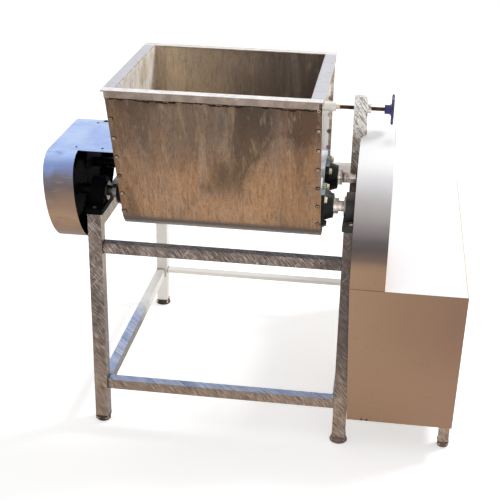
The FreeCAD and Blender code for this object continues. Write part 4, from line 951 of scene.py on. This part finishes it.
def make_welds():
    """Weld beads round the ends of the frame's bars and rails."""
    made = bmesh.new()
    for name, axis in (("front_top_bar", 0), ("front_bottom_bar", 0), ("rear_bars", 0),
                       ("side_bottom_bars", 1)):
        for count, (low, high, _) in enumerate(islands(name)):
            u, v = [k for k in range(3) if k != axis]
            for end in (low, high):
                ring = []
                for a, b in ((low, low), (high, low), (high, high), (low, high)):
                    corner = Vector((0, 0, 0))
                    corner[axis] = end[axis]
                    corner[u] = a[u] + (BEAD_INSET if a is low else -BEAD_INSET)
                    corner[v] = b[v] + (BEAD_INSET if b is low else -BEAD_INSET)
                    ring.append(corner)
                for k in range(4):
                    bead(made, ring[k], ring[(k + 1) % 4], k + count)
    finish_piece(made, "weld_beads", "frame", WELD, smooth=60)


SEAM_STEP = 3 * MM
SEAM_RADIUS = 2.4 * MM
SEAM_DROP = 12 * MM
SEAM_FLAT = 0.6
# the seam's waves from step to step, each as size, rate and start
SEAM_WANDER = ((2.2 * MM, 0.11, 0), (1.5 * MM, 0.31, 1), (1.0 * MM, 0.83, 0))
SEAM_SWELL = ((0.35, 0.57, 0), (0.25, 1.7, 2))


def waves(parts, k):
    return sum(size * math.sin(rate * k + start) for size, rate, start in parts)


def make_rim_seam():
    """The wandering dark bead that seals the front wall under its rim; its dark colour is dirt and
    painted shade, the shadow line under the rim.
    """
    low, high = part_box("trough_sheet")
    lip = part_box("front_rim")[0][2]
    slope = math.tan(math.radians(WALL_LEAN))
    made = bmesh.new()
    count = int((high[0] - low[0]) / SEAM_STEP)
    rings = []
    for k in range(count + 1):
        x = low[0] + (high[0] - low[0]) * k / count
        radius = SEAM_RADIUS * (1 + waves(SEAM_SWELL, k))
        z = lip - SEAM_DROP + waves(SEAM_WANDER, k)
        y = low[1] + (high[2] - z) * slope
        rings.append([(x, y + SEAM_FLAT * radius * math.cos(angle), z + radius * math.sin(angle))
                      for angle in angles(BEAD_SIDES)])
    skin(made, rings)
    finish_piece(made, "rim_seam", "trough", GRIME_AND_SHADE, smooth=60)


def make_world():
    """A white sky at full strength for the camera, and at SKY for the light it casts."""
    world = bpy.data.worlds.new("world")
    world.use_nodes = True
    tree = world.node_tree
    back = tree.nodes["Background"]
    strength = tree.nodes.new("ShaderNodeMapRange")
    strength.inputs["To Min"].default_value = SKY
    strength.inputs["To Max"].default_value = 1.0
    tree.links.new(plain_view(tree), strength.inputs["Value"])
    tree.links.new(strength.outputs["Result"], back.inputs["Strength"])
    back.inputs["Color"].default_value = (1, 1, 1, 1)
    bpy.context.scene.world = world


def plain_view(tree):
    """1 where a ray comes from the camera, a mirror or clear glass."""
    seen = tree.nodes.new("ShaderNodeLightPath")
    last = seen.outputs["Is Camera Ray"]
    for name in ("Is Glossy Ray", "Is Transmission Ray"):
        either = tree.nodes.new("ShaderNodeMath")
        either.operation = "MAXIMUM"
        tree.links.new(last, either.inputs[0])
        tree.links.new(seen.outputs[name], either.inputs[1])
        last = either.outputs[0]
    return last


def make_floor():
    """A pale floor that glows towards the camera alone, so that the object's shadow stays."""
    mesh = bpy.data.meshes.new("floor")
    made = bmesh.new()
    bmesh.ops.create_grid(made, x_segments=1, y_segments=1, size=FLOOR_REACH)
    made.to_mesh(mesh)
    made.free()
    floor = bpy.data.objects.new("floor", mesh)
    bpy.context.scene.collection.objects.link(floor)
    material = bpy.data.materials.new("floor")
    material.use_nodes = True
    tree = material.node_tree
    shader = tree.nodes["Principled BSDF"]
    shader.inputs["Base Color"].default_value = (FLOOR_TONE, FLOOR_TONE, FLOOR_TONE, 1)
    shader.inputs["Roughness"].default_value = FLOOR_ROUGHNESS
    shader.inputs["Specular IOR Level"].default_value = FLOOR_GLOSS
    shader.inputs["Emission Color"].default_value = (1, 1, 1, 1)
    glow = tree.nodes.new("ShaderNodeMapRange")
    glow.inputs["To Max"].default_value = FLOOR_GLOW
    tree.links.new(plain_view(tree), glow.inputs["Value"])
    tree.links.new(glow.outputs["Result"], shader.inputs["Emission Strength"])
    mesh.materials.append(material)


def make_lamp(name, place, aim, size, power):
    data = bpy.data.lights.new(name, "AREA")
    data.shape = "DISK"
    data.size = size
    data.energy = power
    lamp = bpy.data.objects.new(name, data)
    bpy.context.scene.collection.objects.link(lamp)
    lamp.location = place
    lamp.rotation_mode = "QUATERNION"
    lamp.rotation_quaternion = (Vector(aim) - Vector(place)).to_track_quat("-Z", "Y")


make_screws()
make_bolts()
make_wheel()
make_thread()
make_shoes()
make_post_cap()
make_hole_plugs()
make_welds()
make_rim_seam()
make_camera()
make_world()
make_floor()
make_lamp("key", **KEY)
make_lamp("fill", **FILL)

bpy.context.scene.view_settings.view_transform = "Standard"
